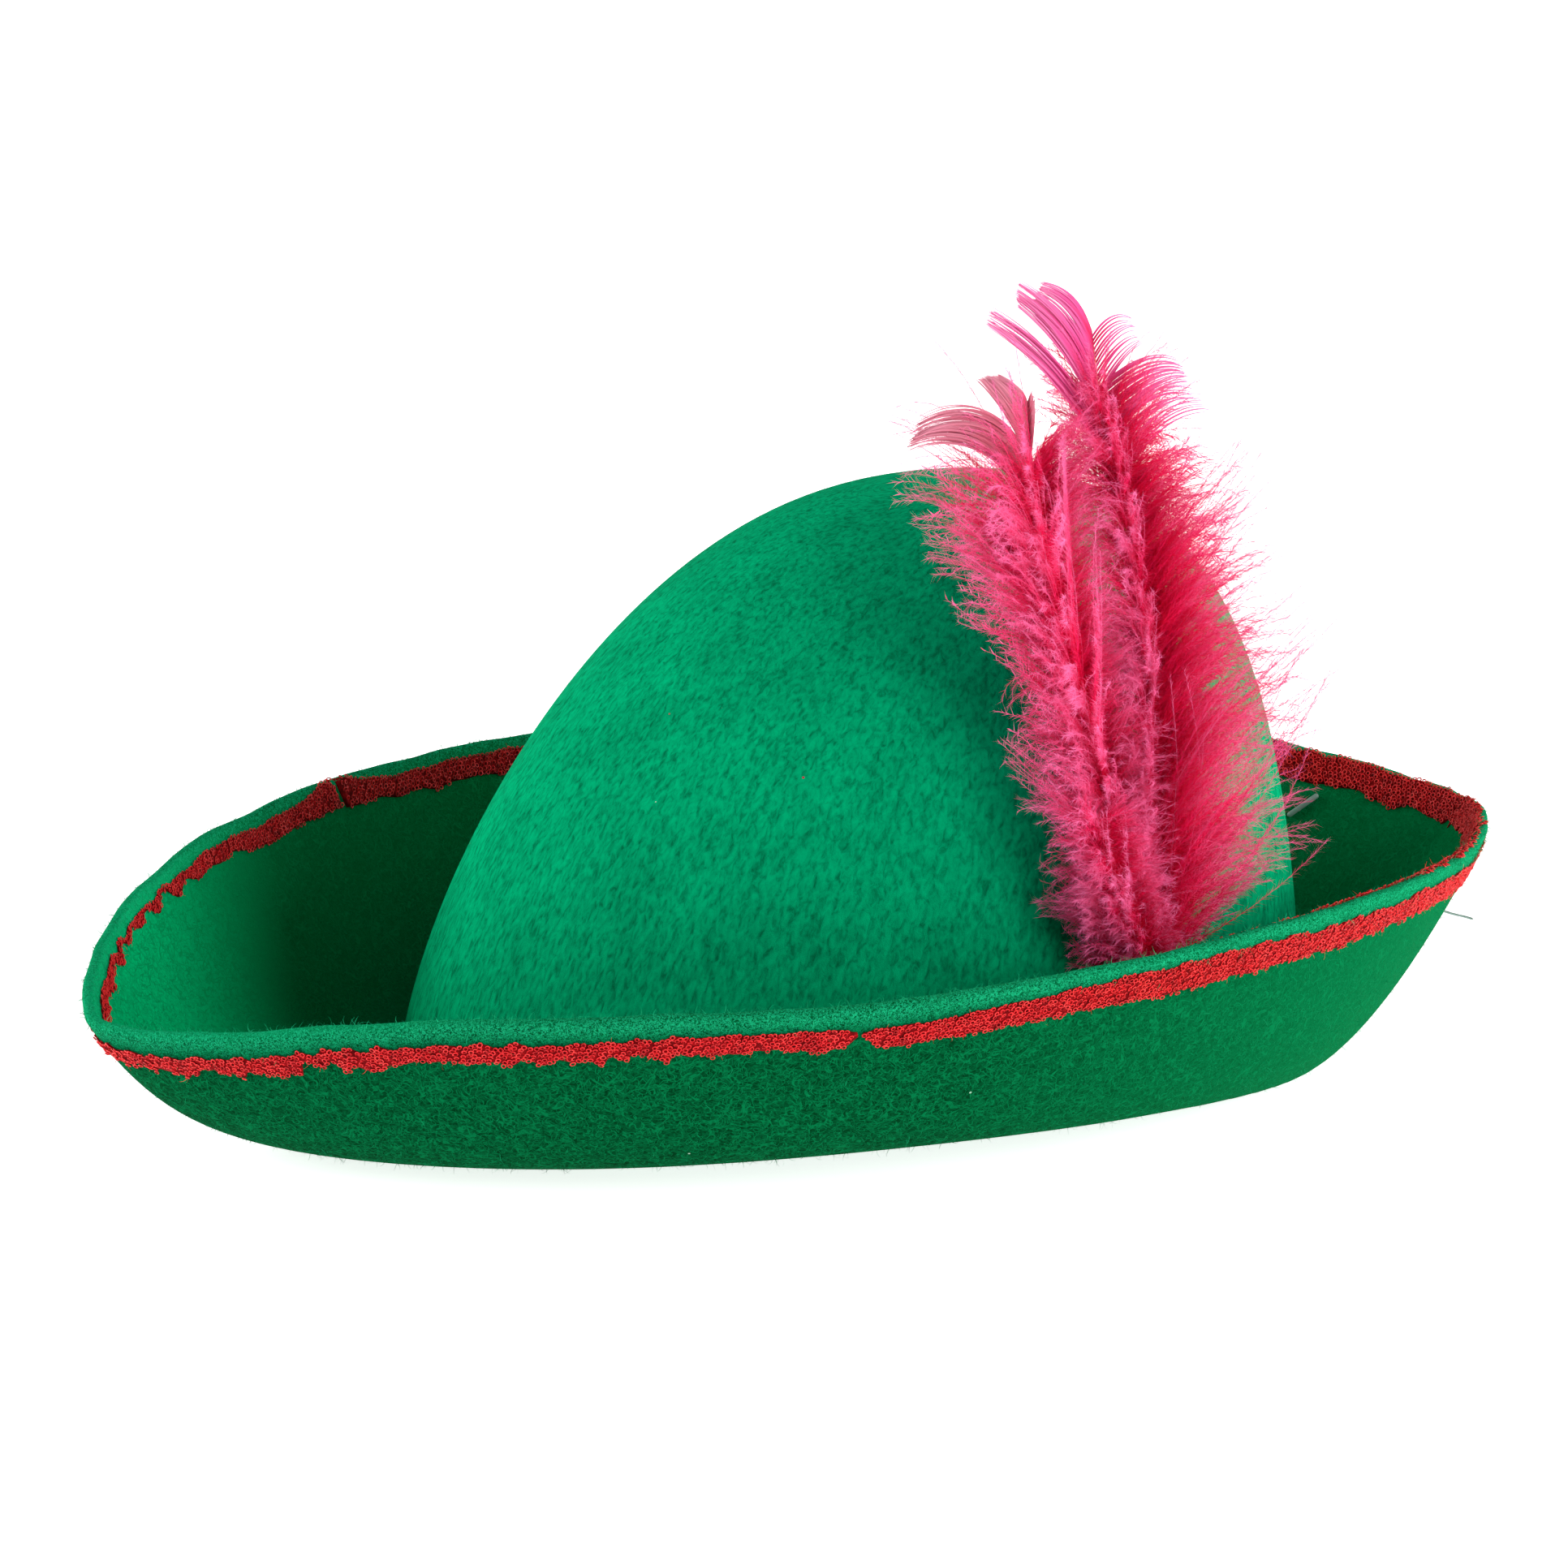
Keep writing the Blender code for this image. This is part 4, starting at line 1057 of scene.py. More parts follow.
# Down: for each stretch of a quill, the side it grows on, the heights it grows between, the angle from
# the quill where a barb starts and where it ends, how far it reaches (None: to the plume's outline), how
# far back and forward it spreads, how far apart the barbs are, how long the tufts are, how many of the
# barbs stay short, how broad the barbules are and how light the dye. Millimetres and degrees. A lining
# is the sparse, broad down behind the rest.
DOWN = {
    "left_feather_left_down": (
        "left_feather", -1, (15, 119), (38, 92), None, (-16, 62),
        0.145, 5.0, 0.35, 1.0, 0.5,
    ),
    "left_feather_right_down": (
        "left_feather", 1, (10, 126), (34, 80), (15, 22), (-5, 70),
        0.19, 4.0, 0.4, 1.0, 0.5,
    ),
    "tall_feather_left_down": (
        "tall_feather", -1, (10, 136), (32, 80), (15, 24), (-5, 70),
        0.18, 4.0, 0.4, 1.0, 0.5,
    ),
    "tall_feather_right_down": (
        "tall_feather", 1, (12, 134), (38, 84), None, (-20, 66),
        0.185, 5.0, 0.5, 1.1, 0.5,
    ),
    "short_feather_left_down": (
        "short_feather", -1, (3, 50), (35, 95), (8, 17), (-20, 60),
        0.13, 4.0, 0.3, 1.0, 0.4,
    ),
    "short_feather_right_down": (
        "short_feather", 1, (3, 50), (35, 85), (8, 16), (-10, 60),
        0.14, 4.0, 0.3, 1.0, 0.4,
    ),
    "left_feather_left_lining": (
        "left_feather", -1, (10, 116), (38, 80), None, (-35, 5),
        0.40, 5.0, 0.9, 2.6, 0.45,
    ),
    "left_feather_right_lining": (
        "left_feather", 1, (8, 126), (35, 70), (14, 22), (-30, 5),
        0.45, 5.0, 0.3, 2.6, 0.45,
    ),
    "tall_feather_left_lining": (
        "tall_feather", -1, (8, 136), (30, 70), (14, 24), (-30, 5),
        0.40, 5.0, 0.3, 2.6, 0.45,
    ),
    "tall_feather_right_lining": (
        "tall_feather", 1, (8, 128), (40, 84), None, (-35, 5),
        0.30, 5.0, 0.8, 2.6, 0.45,
    ),
}

# Webs: the firm tips of the two long feathers, one tuft a row: side, root heights, starting and ending
# angle, lengths, how far forward the tuft bulges, and how many barbs
WEBS = {
    "left_feather_web": ("left_feather", [
        (-1, (126, 139), (28, 52), (9, 25), 1.5, 90),
        (-1, (116, 127), (36, 112), (34, 41), 3.0, 90),
        (1, (129, 139), (2, 26), (4, 8), 1.0, 34),
    ]),
    "tall_feather_web": ("tall_feather", [
        (-1, (139, 153), (26, 64), (18, 27), 1.0, 76),
        (-1, (130, 141), (28, 56), (33, 37), 2.5, 80),
        (-1, (122, 131), (33, 60), (42, 47), 1.0, 56),
        (1, (139, 152), (24, 100), (10, 15), 2.0, 15),
        (1, (131, 141), (46, 108), (19, 24), 3.0, 26),
        (1, (121, 131), (38, 104), (22, 29), 1.0, 16),
    ]),
}


def outline_reach(side, up, across):
    """How far a barb may reach to one side at a height, from where it starts."""
    edge = np.interp(up, OUTLINE_UP, OUTLINE_LEFT if side < 0 else OUTLINE_RIGHT)
    return np.maximum((edge - across) * side, 4.0)


def bent_lines(roots, side, start, end, length, spread, steps, power=1.25):
    """Barbs' centre lines: each leaves its root at one angle and has turned to another by its tip."""
    share = np.linspace(0.0, 1.0, steps)
    angle = start[:, None] + (end - start)[:, None] * share[None] ** power
    mid = 0.5 * (angle[:, 1:] + angle[:, :-1])
    step = length[:, None] / (steps - 1)
    zero = np.zeros((len(roots), 1))
    sideways = np.concatenate([zero, np.cumsum(np.sin(mid) * step, axis=1)], axis=1)
    upward = np.concatenate([zero, np.cumsum(np.cos(mid) * step, axis=1)], axis=1)
    across = side * sideways * np.cos(spread)[:, None]
    out = sideways * np.sin(spread)[:, None]
    return roots[:, None] + np.stack([across, out, upward], axis=-1)


def grow_down(spec, settings, seed):
    """Centre lines of the downy barbs on one stretch of quill, drawn together into tufts, and their tones."""
    feather, side, heights, angles, reaches, spreads, spacing, tuft, short, _, light = spec
    rng = np.random.default_rng(seed)
    steps = 13
    layer_count = 6
    count = int((heights[1] - heights[0]) / (spacing * settings.barb_spacing))
    up = np.sort(rng.uniform(*heights, count))
    roots = quill_at(feather, up)
    # Each barb belongs to a tuft, and several tufts at a height point forward, sideways and back
    layers = rng.integers(0, layer_count, count)
    tufts = np.floor((up - heights[0]) / tuft + rng.normal(0, 0.25, count) + layers * 0.37).astype(int)
    # Tufts may be numbered from a little below zero, which the last term makes up for
    key = tufts * layer_count + layers + 10 * layer_count
    share = rng.uniform(0, 1, key.max() + 1)
    sway = rng.normal(0, 1, (key.max() + 1, 3))
    spread = np.radians(spreads[0] + (spreads[1] - spreads[0]) * ((layers + share[key]) / layer_count))
    # Barbs that point forward stand closer to the quill, so they flow up over it
    upright = 1 - 0.25 * np.clip(np.sin(spread), 0, 1) ** 1.5
    start = np.radians(angles[0] * upright + 10 * sway[key, 0] + rng.normal(0, 8, count))
    end = np.radians(angles[1] * upright + 22 * sway[key, 1] + rng.normal(0, 16, count))
    if reaches is None:
        # A barb that is to reach the outline ends higher than its root, so its length is found in rounds
        lift = up + 12
        for _ in range(3):
            reach = outline_reach(side, lift, roots[:, 0])
            mean = 0.45 * start + 0.55 * end
            length = reach / np.clip(np.sin(mean), 0.62, 1.0)
            lift = up + length * np.cos(mean)
    else:
        length = np.interp(up, heights, reaches)
    vigour = np.clip(0.86 + 0.16 * sway[key, 2] + rng.normal(0, 0.07, count), 0.45, 1.16)
    shortened = np.where(rng.uniform(0, 1, count) < short, rng.uniform(0.45, 0.8, count), 1.0)
    length = length * vigour * shortened
    lines = bent_lines(roots, side, start, end, length, spread, steps)
    # Draw each tuft's barbs towards the line down its middle, more and more to the tip
    along = np.linspace(0, 1, steps)
    pull = (0.5 - 0.35 * np.clip(np.sin(spread), 0, 1))[:, None] * along[None] ** 1.6
    sums = np.zeros((key.max() + 1, steps, 3))
    np.add.at(sums, key, lines)
    members = np.bincount(key, minlength=key.max() + 1)
    centre = sums / np.maximum(members, 1)[:, None, None]
    lines = lines + (centre[key] - lines) * pull[..., None]
    wobble = rng.normal(0, 1, (count, 1, 3)) * np.sin(5 * along + rng.uniform(0, 6))[None, :, None]
    lines = lines + wobble * 0.8 * along[None, :, None]
    return lines, np.clip(light + 0.22 * sway[key, 2] + rng.normal(0, 0.12, count), 0, 1)


def grow_web(rows, feather, seed):
    """Centre lines of the firm barbs, tuft by tuft."""
    rng = np.random.default_rng(seed)
    steps = 18
    share = np.linspace(0, 1, steps)
    lines = []
    tones = []
    for side, heights, angles, lengths, bulge, count in rows:
        up = np.linspace(*heights, count) + rng.normal(0, 0.06, count)
        place = np.linspace(0, 1, count)
        start = np.radians(angles[0] + rng.normal(0, 1.0, count))
        end = np.radians(angles[1] + rng.normal(0, 2.0, count) + 4 * np.sin(place * 9 + rng.uniform(0, 6)))
        length = lengths[1] + (lengths[0] - lengths[1]) * place + rng.normal(0, 0.5, count)
        spread = np.full(count, 0.08) + rng.normal(0, 0.03, count)
        tuft = bent_lines(quill_at(feather, up), side, start, end, length, spread, steps, power=1.5)
        centre = tuft.mean(axis=0)
        pull = 0.42 * share**2.2
        tuft = tuft + (centre[None] - tuft) * pull[None, :, None]
        tuft[..., 1] += bulge * np.sin(share * math.pi * 0.8)[None] + rng.uniform(-0.3, 0.3)
        tuft[..., 1] += 0.25 * place[:, None]
        lines.append(tuft)
        tones.append(np.clip(0.5 + 0.2 * np.sin(place * 14) + rng.normal(0, 0.25, count), 0, 1))
    return np.concatenate(lines), np.concatenate(tones)


def down_tree():
    """Fine barbs along lines, each with threadlike barbules all round it."""
    tree, given = new_tree(
        "downy_barbs", Barb_Radius=0.00006, Barbule_Spacing=0.00025, Barbule_Length=0.0016,
        Barbule_Width=0.00007, Seed=1, Material=None,
    )
    reach = add_node(tree, "GeometryNodeInputNamedAttribute", {"Name": "reach"}, data_type="FLOAT")
    curve = add_node(tree, "GeometryNodeMeshToCurve", {"Mesh": given["Marks"]})
    round_barb = add_node(tree, "GeometryNodeCurvePrimitiveCircle", {
        "Resolution": 3, "Radius": given["Barb Radius"],
    })
    taper = add_node(tree, "ShaderNodeMapRange", {"Value": reach.outputs[0], "To Min": 1.6, "To Max": 0.5})
    barbs = add_node(tree, "GeometryNodeCurveToMesh", {
        "Curve": curve.outputs[0], "Profile Curve": round_barb.outputs[0], "Scale": taper.outputs[0],
    })
    spots = add_node(tree, "GeometryNodeCurveToPoints", {
        "Curve": curve.outputs[0], "Length": given["Barbule Spacing"],
    }, mode="LENGTH")
    along = add_node(tree, "FunctionNodeAlignRotationToVector", {
        "Vector": spots.outputs["Tangent"],
    }, axis="X")
    roll = add_node(tree, "FunctionNodeRandomValue", {
        2: 0.0, 3: 6.2832, "Seed": given["Seed"],
    }, data_type="FLOAT")
    rolled = add_node(tree, "ShaderNodeCombineXYZ", {"X": roll.outputs["Value"]})
    turned = add_node(tree, "FunctionNodeRotateRotation", {
        "Rotation": along.outputs[0], "Rotate By": rolled.outputs[0],
    }, rotation_space="LOCAL")
    lean = add_node(tree, "FunctionNodeRandomValue", {
        2: 0.45, 3: 1.0, "Seed": given["Seed"], "ID": 7,
    }, data_type="FLOAT")
    leaned = add_node(tree, "ShaderNodeCombineXYZ", {"Y": lean.outputs["Value"]})
    facing = add_node(tree, "FunctionNodeRotateRotation", {
        "Rotation": turned.outputs[0], "Rotate By": leaned.outputs[0],
    }, rotation_space="LOCAL")
    # A barbule is one triangle, as long and as wide at its root as it is given
    blade = add_node(tree, "GeometryNodeMeshCircle", {"Vertices": 3, "Radius": 1.0}, fill_type="NGON")
    third = add_node(tree, "ShaderNodeMath", {0: given["Barbule Length"], 1: 0.667}, operation="MULTIPLY")
    narrow = add_node(tree, "ShaderNodeMath", {0: given["Barbule Width"], 1: 0.577}, operation="MULTIPLY")
    shift = add_node(tree, "ShaderNodeMath", {0: given["Barbule Length"], 1: 0.333}, operation="MULTIPLY")
    stretch = add_node(tree, "ShaderNodeCombineXYZ", {
        "X": third.outputs[0], "Y": narrow.outputs[0], "Z": 1.0,
    })
    ahead = add_node(tree, "ShaderNodeCombineXYZ", {"X": shift.outputs[0]})
    barbule = add_node(tree, "GeometryNodeTransform", {
        "Geometry": blade.outputs[0], "Translation": ahead.outputs[0], "Scale": stretch.outputs[0],
    })
    shorter = add_node(tree, "ShaderNodeMapRange", {
        "Value": reach.outputs[0], "To Min": 1.1, "To Max": 0.65,
    })
    jitter = add_node(tree, "FunctionNodeRandomValue", {
        2: 0.55, 3: 1.3, "Seed": given["Seed"], "ID": 3,
    }, data_type="FLOAT")
    size = add_node(tree, "ShaderNodeMath", {
        0: shorter.outputs[0], 1: jitter.outputs["Value"],
    }, operation="MULTIPLY")
    barbules = add_node(tree, "GeometryNodeInstanceOnPoints", {
        "Points": spots.outputs["Points"], "Instance": barbule.outputs[0], "Rotation": facing.outputs[0],
        "Scale": size.outputs[0],
    })
    both = add_node(tree, "GeometryNodeJoinGeometry", {"Geometry": barbs.outputs[0]})
    tree.links.new(barbules.outputs[0], both.inputs["Geometry"])
    finish_tree(tree, both.outputs[0], given["Material"])
    return tree


def web_tree():
    """Flat barbs along lines, lying edge to edge in a web."""
    tree, given = new_tree("web_barbs", Barb_Width=0.00042, Material=None)
    reach = add_node(tree, "GeometryNodeInputNamedAttribute", {"Name": "reach"}, data_type="FLOAT")
    flat = add_node(tree, "GeometryNodeInputNamedAttribute", {"Name": "flat"}, data_type="FLOAT_VECTOR")
    curve = add_node(tree, "GeometryNodeMeshToCurve", {"Mesh": given["Marks"]})
    laid = add_node(tree, "GeometryNodeSetCurveNormal", {
        "Curve": curve.outputs[0], "Normal": flat.outputs[0],
    }, mode="FREE")
    edge = flat_section(tree, given["Barb Width"], 0.5)
    taper = add_node(tree, "ShaderNodeMapRange", {
        "Value": reach.outputs[0], "From Min": 0.3, "To Min": 1.0, "To Max": 0.22,
    })
    barbs = add_node(tree, "GeometryNodeCurveToMesh", {
        "Curve": laid.outputs[0], "Profile Curve": edge, "Scale": taper.outputs[0],
    })
    finish_tree(tree, barbs.outputs[0], given["Material"])
    return tree


def barb_material(name, root, middle, tip, roughness):
    """Dyed feather barbs, with painted shade at their roots, where they crowd at the quill, and painted light
    towards their tips, where they thin out.
    """
    material, tree, shader = new_material(name, Roughness=roughness, Specular_IOR_Level=0.2)
    reach = add_node(tree, "ShaderNodeAttribute", attribute_name="reach").outputs["Fac"]
    tone = add_node(tree, "ShaderNodeAttribute", attribute_name="tone").outputs["Fac"]
    place = add_node(tree, "ShaderNodeTexCoord").outputs["Object"]
    # The dye bath leaves patches about 12 mm across
    dye = add_node(tree, "ShaderNodeTexNoise", {"Vector": place, "Scale": 85.0, "Detail": 2.0})
    toned = add_node(tree, "ShaderNodeMath", {0: tone, 1: dye.outputs["Fac"]}, operation="ADD")
    shift = add_node(tree, "ShaderNodeMapRange", {
        "Value": toned.outputs[0], "From Min": 0.5, "From Max": 1.5, "To Min": -0.22, "To Max": 0.22,
    })
    where = add_node(tree, "ShaderNodeMath", {0: reach, 1: shift.outputs[0]}, operation="ADD")
    # The ramp runs from painted shade at a barb's root to painted light at its tip
    dress(tree, shader, where.outputs[0], [(0.02, root), (0.45, middle), (1.0, tip)])
    return material


def quill_material(settings):
    """Dyed keratin quill: smooth and waxy, orange-red where the dye lies thin over the pale shaft."""
    material, tree, shader = new_material("dyed_keratin_quill", Roughness=0.38, IOR=1.54)
    place = add_node(tree, "ShaderNodeTexCoord").outputs["Object"]
    # Streaks 0.7 mm apart and eight times as long, up the quill
    squeezed = add_node(tree, "ShaderNodeMapping", {"Vector": place, "Scale": (1.0, 1.0, 0.12)})
    streaks = add_node(tree, "ShaderNodeTexNoise", {
        "Vector": squeezed.outputs[0], "Scale": 1500.0, "Detail": 2.0,
    })
    stops = [(0.3, settings.quill_dark), (0.7, settings.quill_colour)]
    dress(tree, shader, streaks.outputs["Fac"], stops, streaks.outputs["Fac"], 0.25, 0.0001)
    return material


def barb_marks(lines, tones, gap=CROWN_GAP):
    """Lines in the plume's millimetres, turned to a mesh of marks in place, a gap off the crown."""
    count, steps = lines.shape[:2]
    points = keep_clear(on_plume(lines), gap)
    along = unit(np.gradient(points, axis=1))
    out = plume_axes()[1]
    flat = unit(np.cross(along, np.broadcast_to(out, along.shape)))
    reach = np.tile(np.linspace(0, 1, steps), count)
    return lines_mesh(
        "barb_lines", points, reach=reach, tone=np.repeat(tones, steps), flat=flat.reshape(-1, 3),
    )


def make_feathers(settings):
    """The three feathers: quills, the down along them and the firm webs at the tips of the long ones."""
    quill = quill_material(settings)
    down = barb_material(
        "dyed_down_barbs", settings.barb_deep, settings.barb_colour, settings.barb_light, 0.7,
    )
    webs = {
        "left_feather_web": barb_material(
            "faded_web_barbs", settings.faded_deep, settings.faded_colour, settings.faded_light, 0.6,
        ),
        "tall_feather_web": barb_material(
            "dyed_web_barbs", settings.web_deep, settings.web_colour, settings.web_light, 0.5,
        ),
    }
    tree = down_tree()
    for seed, (name, spec) in enumerate(DOWN.items()):
        lines, tones = grow_down(spec, settings, 50 + seed)
        breadth = spec[9]
        mesh = grow(
            name, barb_marks(lines, tones, CROWN_GAP * breadth), tree,
            Barbule_Spacing=settings.barbule_spacing * breadth ** 0.5,
            Barbule_Length=settings.barbule_length, Barbule_Width=settings.barbule_width * breadth,
            Seed=seed + 1, Material=down,
        )
        vanes = [name.replace("down", "vane")] if name.endswith("down") else []
        place_piece(mesh, "plume", replaces=vanes)
    for seed, (name, (feather, rows)) in enumerate(WEBS.items()):
        lines, tones = grow_web(rows, feather, 80 + seed)
        mesh = grow(
            name, barb_marks(lines, tones), web_tree(),
            Barb_Width=settings.web_barb_width, Material=webs[name],
        )
        place_piece(mesh, "plume")
    for feather, line in QUILL_LINES.items():
        path = smooth_path(on_plume(line), 70)
        share = np.linspace(0, 1, len(path))
        radii = QUILL_RADII[feather] / 1000 * (1.0 - 0.72 * share**0.8)
        mesh = tube_mesh(feather + "_shaft", path, radii, 12)
        place_piece(mesh, "plume", quill, [feather + "_quill"])


THREAD_DARK = linear("#0b3a26")
THREAD_LIGHT = linear("#1c6b48")


def thread_material(name, dark, light):
    """Twisted polyester sewing thread: satin, with its plies as fine lighter and darker marks."""
    material, tree, shader = new_material(name, Roughness=0.5, Sheen_Weight=0.1)
    place = add_node(tree, "ShaderNodeTexCoord").outputs["Object"]
    # Plies 0.3 mm apart
    slanted = add_node(tree, "ShaderNodeMapping", {"Vector": place, "Rotation": (0.5, 0.6, 0.4)})
    plies = add_node(tree, "ShaderNodeTexNoise", {
        "Vector": slanted.outputs[0], "Scale": 3500.0, "Detail": 1.0,
    })
    stops = [(0.35, dark), (0.65, light)]
    dress(tree, shader, plies.outputs["Fac"], stops, plies.outputs["Fac"], 0.4, 0.0001)
    return material


def coil_tree():
    """Thread wound on: one spiral of round thread."""
    tree, given = new_tree(
        "wound_thread", Turns=17.0, Radius=0.003, Height=0.0085, Thread_Radius=0.00024, Material=None,
    )
    coil = add_node(tree, "GeometryNodeCurveSpiral", {
        "Resolution": 22, "Rotations": given["Turns"], "Start Radius": given["Radius"],
        "End Radius": given["Radius"], "Height": given["Height"],
    })
    thread = add_node(tree, "GeometryNodeCurvePrimitiveCircle", {
        "Resolution": 6, "Radius": given["Thread Radius"],
    })
    wound = add_node(tree, "GeometryNodeCurveToMesh", {
        "Curve": coil.outputs[0], "Profile Curve": thread.outputs[0], "Fill Caps": True,
    })
    finish_tree(tree, wound.outputs[0], given["Material"])
    return tree


def make_bindings(settings):
    """The thread wound round the three quills, and the loop that tacks them to the crown."""
    pink = thread_material("pink_polyester_thread", settings.barb_deep, settings.barb_colour)
    marks = make_mesh("coil_marks", np.zeros((1, 3)), None)
    wrap = grow(
        "quill_binding", marks, coil_tree(),
        Radius=0.00295, Height=0.0085, Thread_Radius=0.00026, Material=pink,
    )
    below_tack = 0.0038
    axes = plume_axes()
    points = points_of(wrap) - (0, 0, below_tack)
    points = PLUME_BASE + points[:, :1] * axes[0] - points[:, 1:2] * axes[1] + points[:, 2:] * axes[2]
    move_points(wrap, points)
    place_piece(wrap, "plume", replaces=["quill_wrap"])
    # Two plies twisted together, in a loop 7.9 mm across round the binding
    steps, sides = 120, 5
    turns = np.linspace(0, 2 * math.pi, steps + 1)
    rings = []
    faces = []
    for k in range(2):
        twist = turns * 22 + k * math.pi
        radius = 3.95 + 0.17 * np.cos(twist)
        ply = np.stack([radius * np.cos(turns), radius * np.sin(turns), 0.17 * np.sin(twist)], axis=1)
        rings.append(tube_points(on_plume(ply)[:-1], 0.00019, sides))
        ring_faces = np.vstack([grid_faces(steps, sides, True), wrap_faces(steps, sides)])
        faces.append(ring_faces + k * steps * sides)
    mesh = make_mesh("tack_thread_loop", np.concatenate(rings), np.concatenate(faces))
    merge_points(mesh)
    green = thread_material("green_polyester_thread", THREAD_DARK, THREAD_LIGHT)
    place_piece(mesh, "tack", green, ["tack_loop"])


def wrap_faces(rings, sides):
    """Quads that join the last ring to the first."""
    j = np.arange(sides)
    beside = (j + 1) % sides
    last = (rings - 1) * sides
    return np.stack([last + j, last + beside, beside, j], axis=1)


# ---------------------------------------------------------------- sweatband


def band_material(settings):
    """Black grosgrain: a woven polyester ribbon with firm ribs across it and a slight gloss."""
    material, tree, shader = new_material("black_grosgrain_ribbon", Roughness=0.55, Sheen_Weight=0.15)
    weave = add_node(tree, "ShaderNodeAttribute", attribute_name="weave").outputs["Vector"]
    # Ribs 0.9 mm apart, crossed by warp threads 0.35 mm apart
    ribs = add_node(tree, "ShaderNodeTexWave", {
        "Vector": weave, "Scale": settings.rib_scale,
    }, bands_direction="X")
    warp = add_node(tree, "ShaderNodeTexWave", {
        "Vector": weave, "Scale": 900.0, "Distortion": 0.4,
    }, bands_direction="Y")
    height = add_node(tree, "ShaderNodeMath", {
        0: ribs.outputs["Fac"], 1: warp.outputs["Fac"],
    }, operation="MULTIPLY")
    stops = [(0.0, tuple(0.3 * v for v in settings.band_colour)), (1.0, settings.band_colour)]
    dress(tree, shader, height.outputs[0], stops, height.outputs[0], 0.7, 0.0002)
    return material


def stitch_tree():
    """Short stitches of thread standing on marks that hold their turn and size."""
    tree, given = new_tree("running_stitches", Length=0.0042, Thread_Radius=0.00022, Material=None)
    half = add_node(tree, "ShaderNodeMath", {0: given["Length"], 1: 0.5}, operation="MULTIPLY")
    less = add_node(tree, "ShaderNodeMath", {0: half.outputs[0], 1: -1.0}, operation="MULTIPLY")
    start = add_node(tree, "ShaderNodeCombineXYZ", {"X": less.outputs[0], "Z": -0.0003})
    end = add_node(tree, "ShaderNodeCombineXYZ", {"X": half.outputs[0], "Z": -0.0003})
    arch = add_node(tree, "GeometryNodeCurveQuadraticBezier", {
        "Resolution": 7, "Start": start.outputs[0], "Middle": (0, 0, 0.0007), "End": end.outputs[0],
    })
    thread = add_node(tree, "GeometryNodeCurvePrimitiveCircle", {
        "Resolution": 6, "Radius": given["Thread Radius"],
    })
    stitch = add_node(tree, "GeometryNodeCurveToMesh", {
        "Curve": arch.outputs[0], "Profile Curve": thread.outputs[0], "Fill Caps": True,
    })
    stand_on_marks(tree, given, stitch.outputs[0])
    return tree


def make_sweatband(settings):
    """The ribbon inside the crown, with a rolled lower edge, and the stitches that hold it."""
    count = 360
    azimuths = np.linspace(math.radians(0.25), 2 * math.pi - math.radians(0.25), count)
    shares = np.concatenate([[0.0, 0.02, 0.05], np.linspace(0.1, 0.92, 12), [0.95, 0.98, 1.0]])
    middle, normals = felt_surface(azimuths, lambda azimuth, crease, end: (
        crease - BAND_ABOVE_CREASE - BAND_WIDTH * shares
    ))
    normals[0], normals[-1] = normals[1], normals[-2]
    near = middle - normals * (LIP + BAND_GAP)
    roll = 0.00080 + 0.0003 * np.exp(-((shares - 0.02) / 0.03) ** 2)
    ripple = 0.00008 * unevenness(azimuths, 30, 41)
    far = near - normals * (roll[None] + ripple[:, None])[..., None]
    around = np.concatenate([[0.0], np.cumsum(np.linalg.norm(np.diff(middle[:, 0], axis=0), axis=1))])
    weave = np.stack(np.broadcast_arrays(around[:, None], BAND_WIDTH * shares[None], 0.0), axis=-1)
    sections = closed_ends(np.concatenate([near, far[:, ::-1]], axis=1))
    weave = np.concatenate([weave, weave[:, ::-1]], axis=1)
    weave = np.concatenate([weave[:1], weave, weave[-1:]])
    mesh = make_mesh(
        "grosgrain_sweatband", sections, grid_faces(len(sections), sections.shape[1], True),
        weave=weave.reshape(-1, 3),
    )
    merge_points(mesh)
    band = place_piece(mesh, "hat", band_material(settings), ["sweatband"])
    # Stitches 4 mm long, 3 mm above the ribbon's edge
    lengths = np.arange(0.004, around[-1] - 0.004, settings.stitch_pitch)
    azimuth = np.interp(lengths, around, azimuths)
    dense, ways = felt_surface(azimuths, lambda azimuth, crease, end: np.array((
        crease - BAND_ABOVE_CREASE - STITCH_ABOVE_BAND_EDGE,
    )))
    ways[0], ways[-1] = ways[1], ways[-2]
    points = np.stack([np.interp(azimuth, azimuths, dense[:, 0, k]) for k in range(3)], axis=1)
    away = -unit(np.stack([np.interp(azimuth, azimuths, ways[:, 0, k]) for k in range(3)], axis=1))
    points = points + away * (LIP + BAND_GAP + STITCH_OFF_FELT)
    around_ways = unit(np.gradient(points, axis=0))
    marks = make_mesh(
        "stitch_marks", points, None, turn=euler_of(around_ways, away), size=np.ones((len(points), 3)),
    )
    thread = thread_material("green_sweatband_thread", THREAD_DARK, THREAD_LIGHT)
    stitches = grow("sweatband_stitches", marks, stitch_tree(), Material=thread)
    place_piece(stitches, "hat", replaces=["sweatband_thread"])


# ---------------------------------------------------------------- tag pin


def nylon_material(settings):
    """Moulded clear nylon: milky, a little greyed, with a soft gloss."""
    material, tree, shader = new_material(
        "moulded_clear_nylon", Roughness=0.32, IOR=1.53, Transmission_Weight=0.45,
    )
    place = add_node(tree, "ShaderNodeTexCoord").outputs["Object"]
    cloud = add_node(tree, "ShaderNodeTexNoise", {"Vector": place, "Scale": 400.0}).outputs["Fac"]
    dress(tree, shader, cloud, [
        (0.3, tuple(0.75 * v for v in settings.nylon_colour)), (0.7, settings.nylon_colour),
    ])
    return material


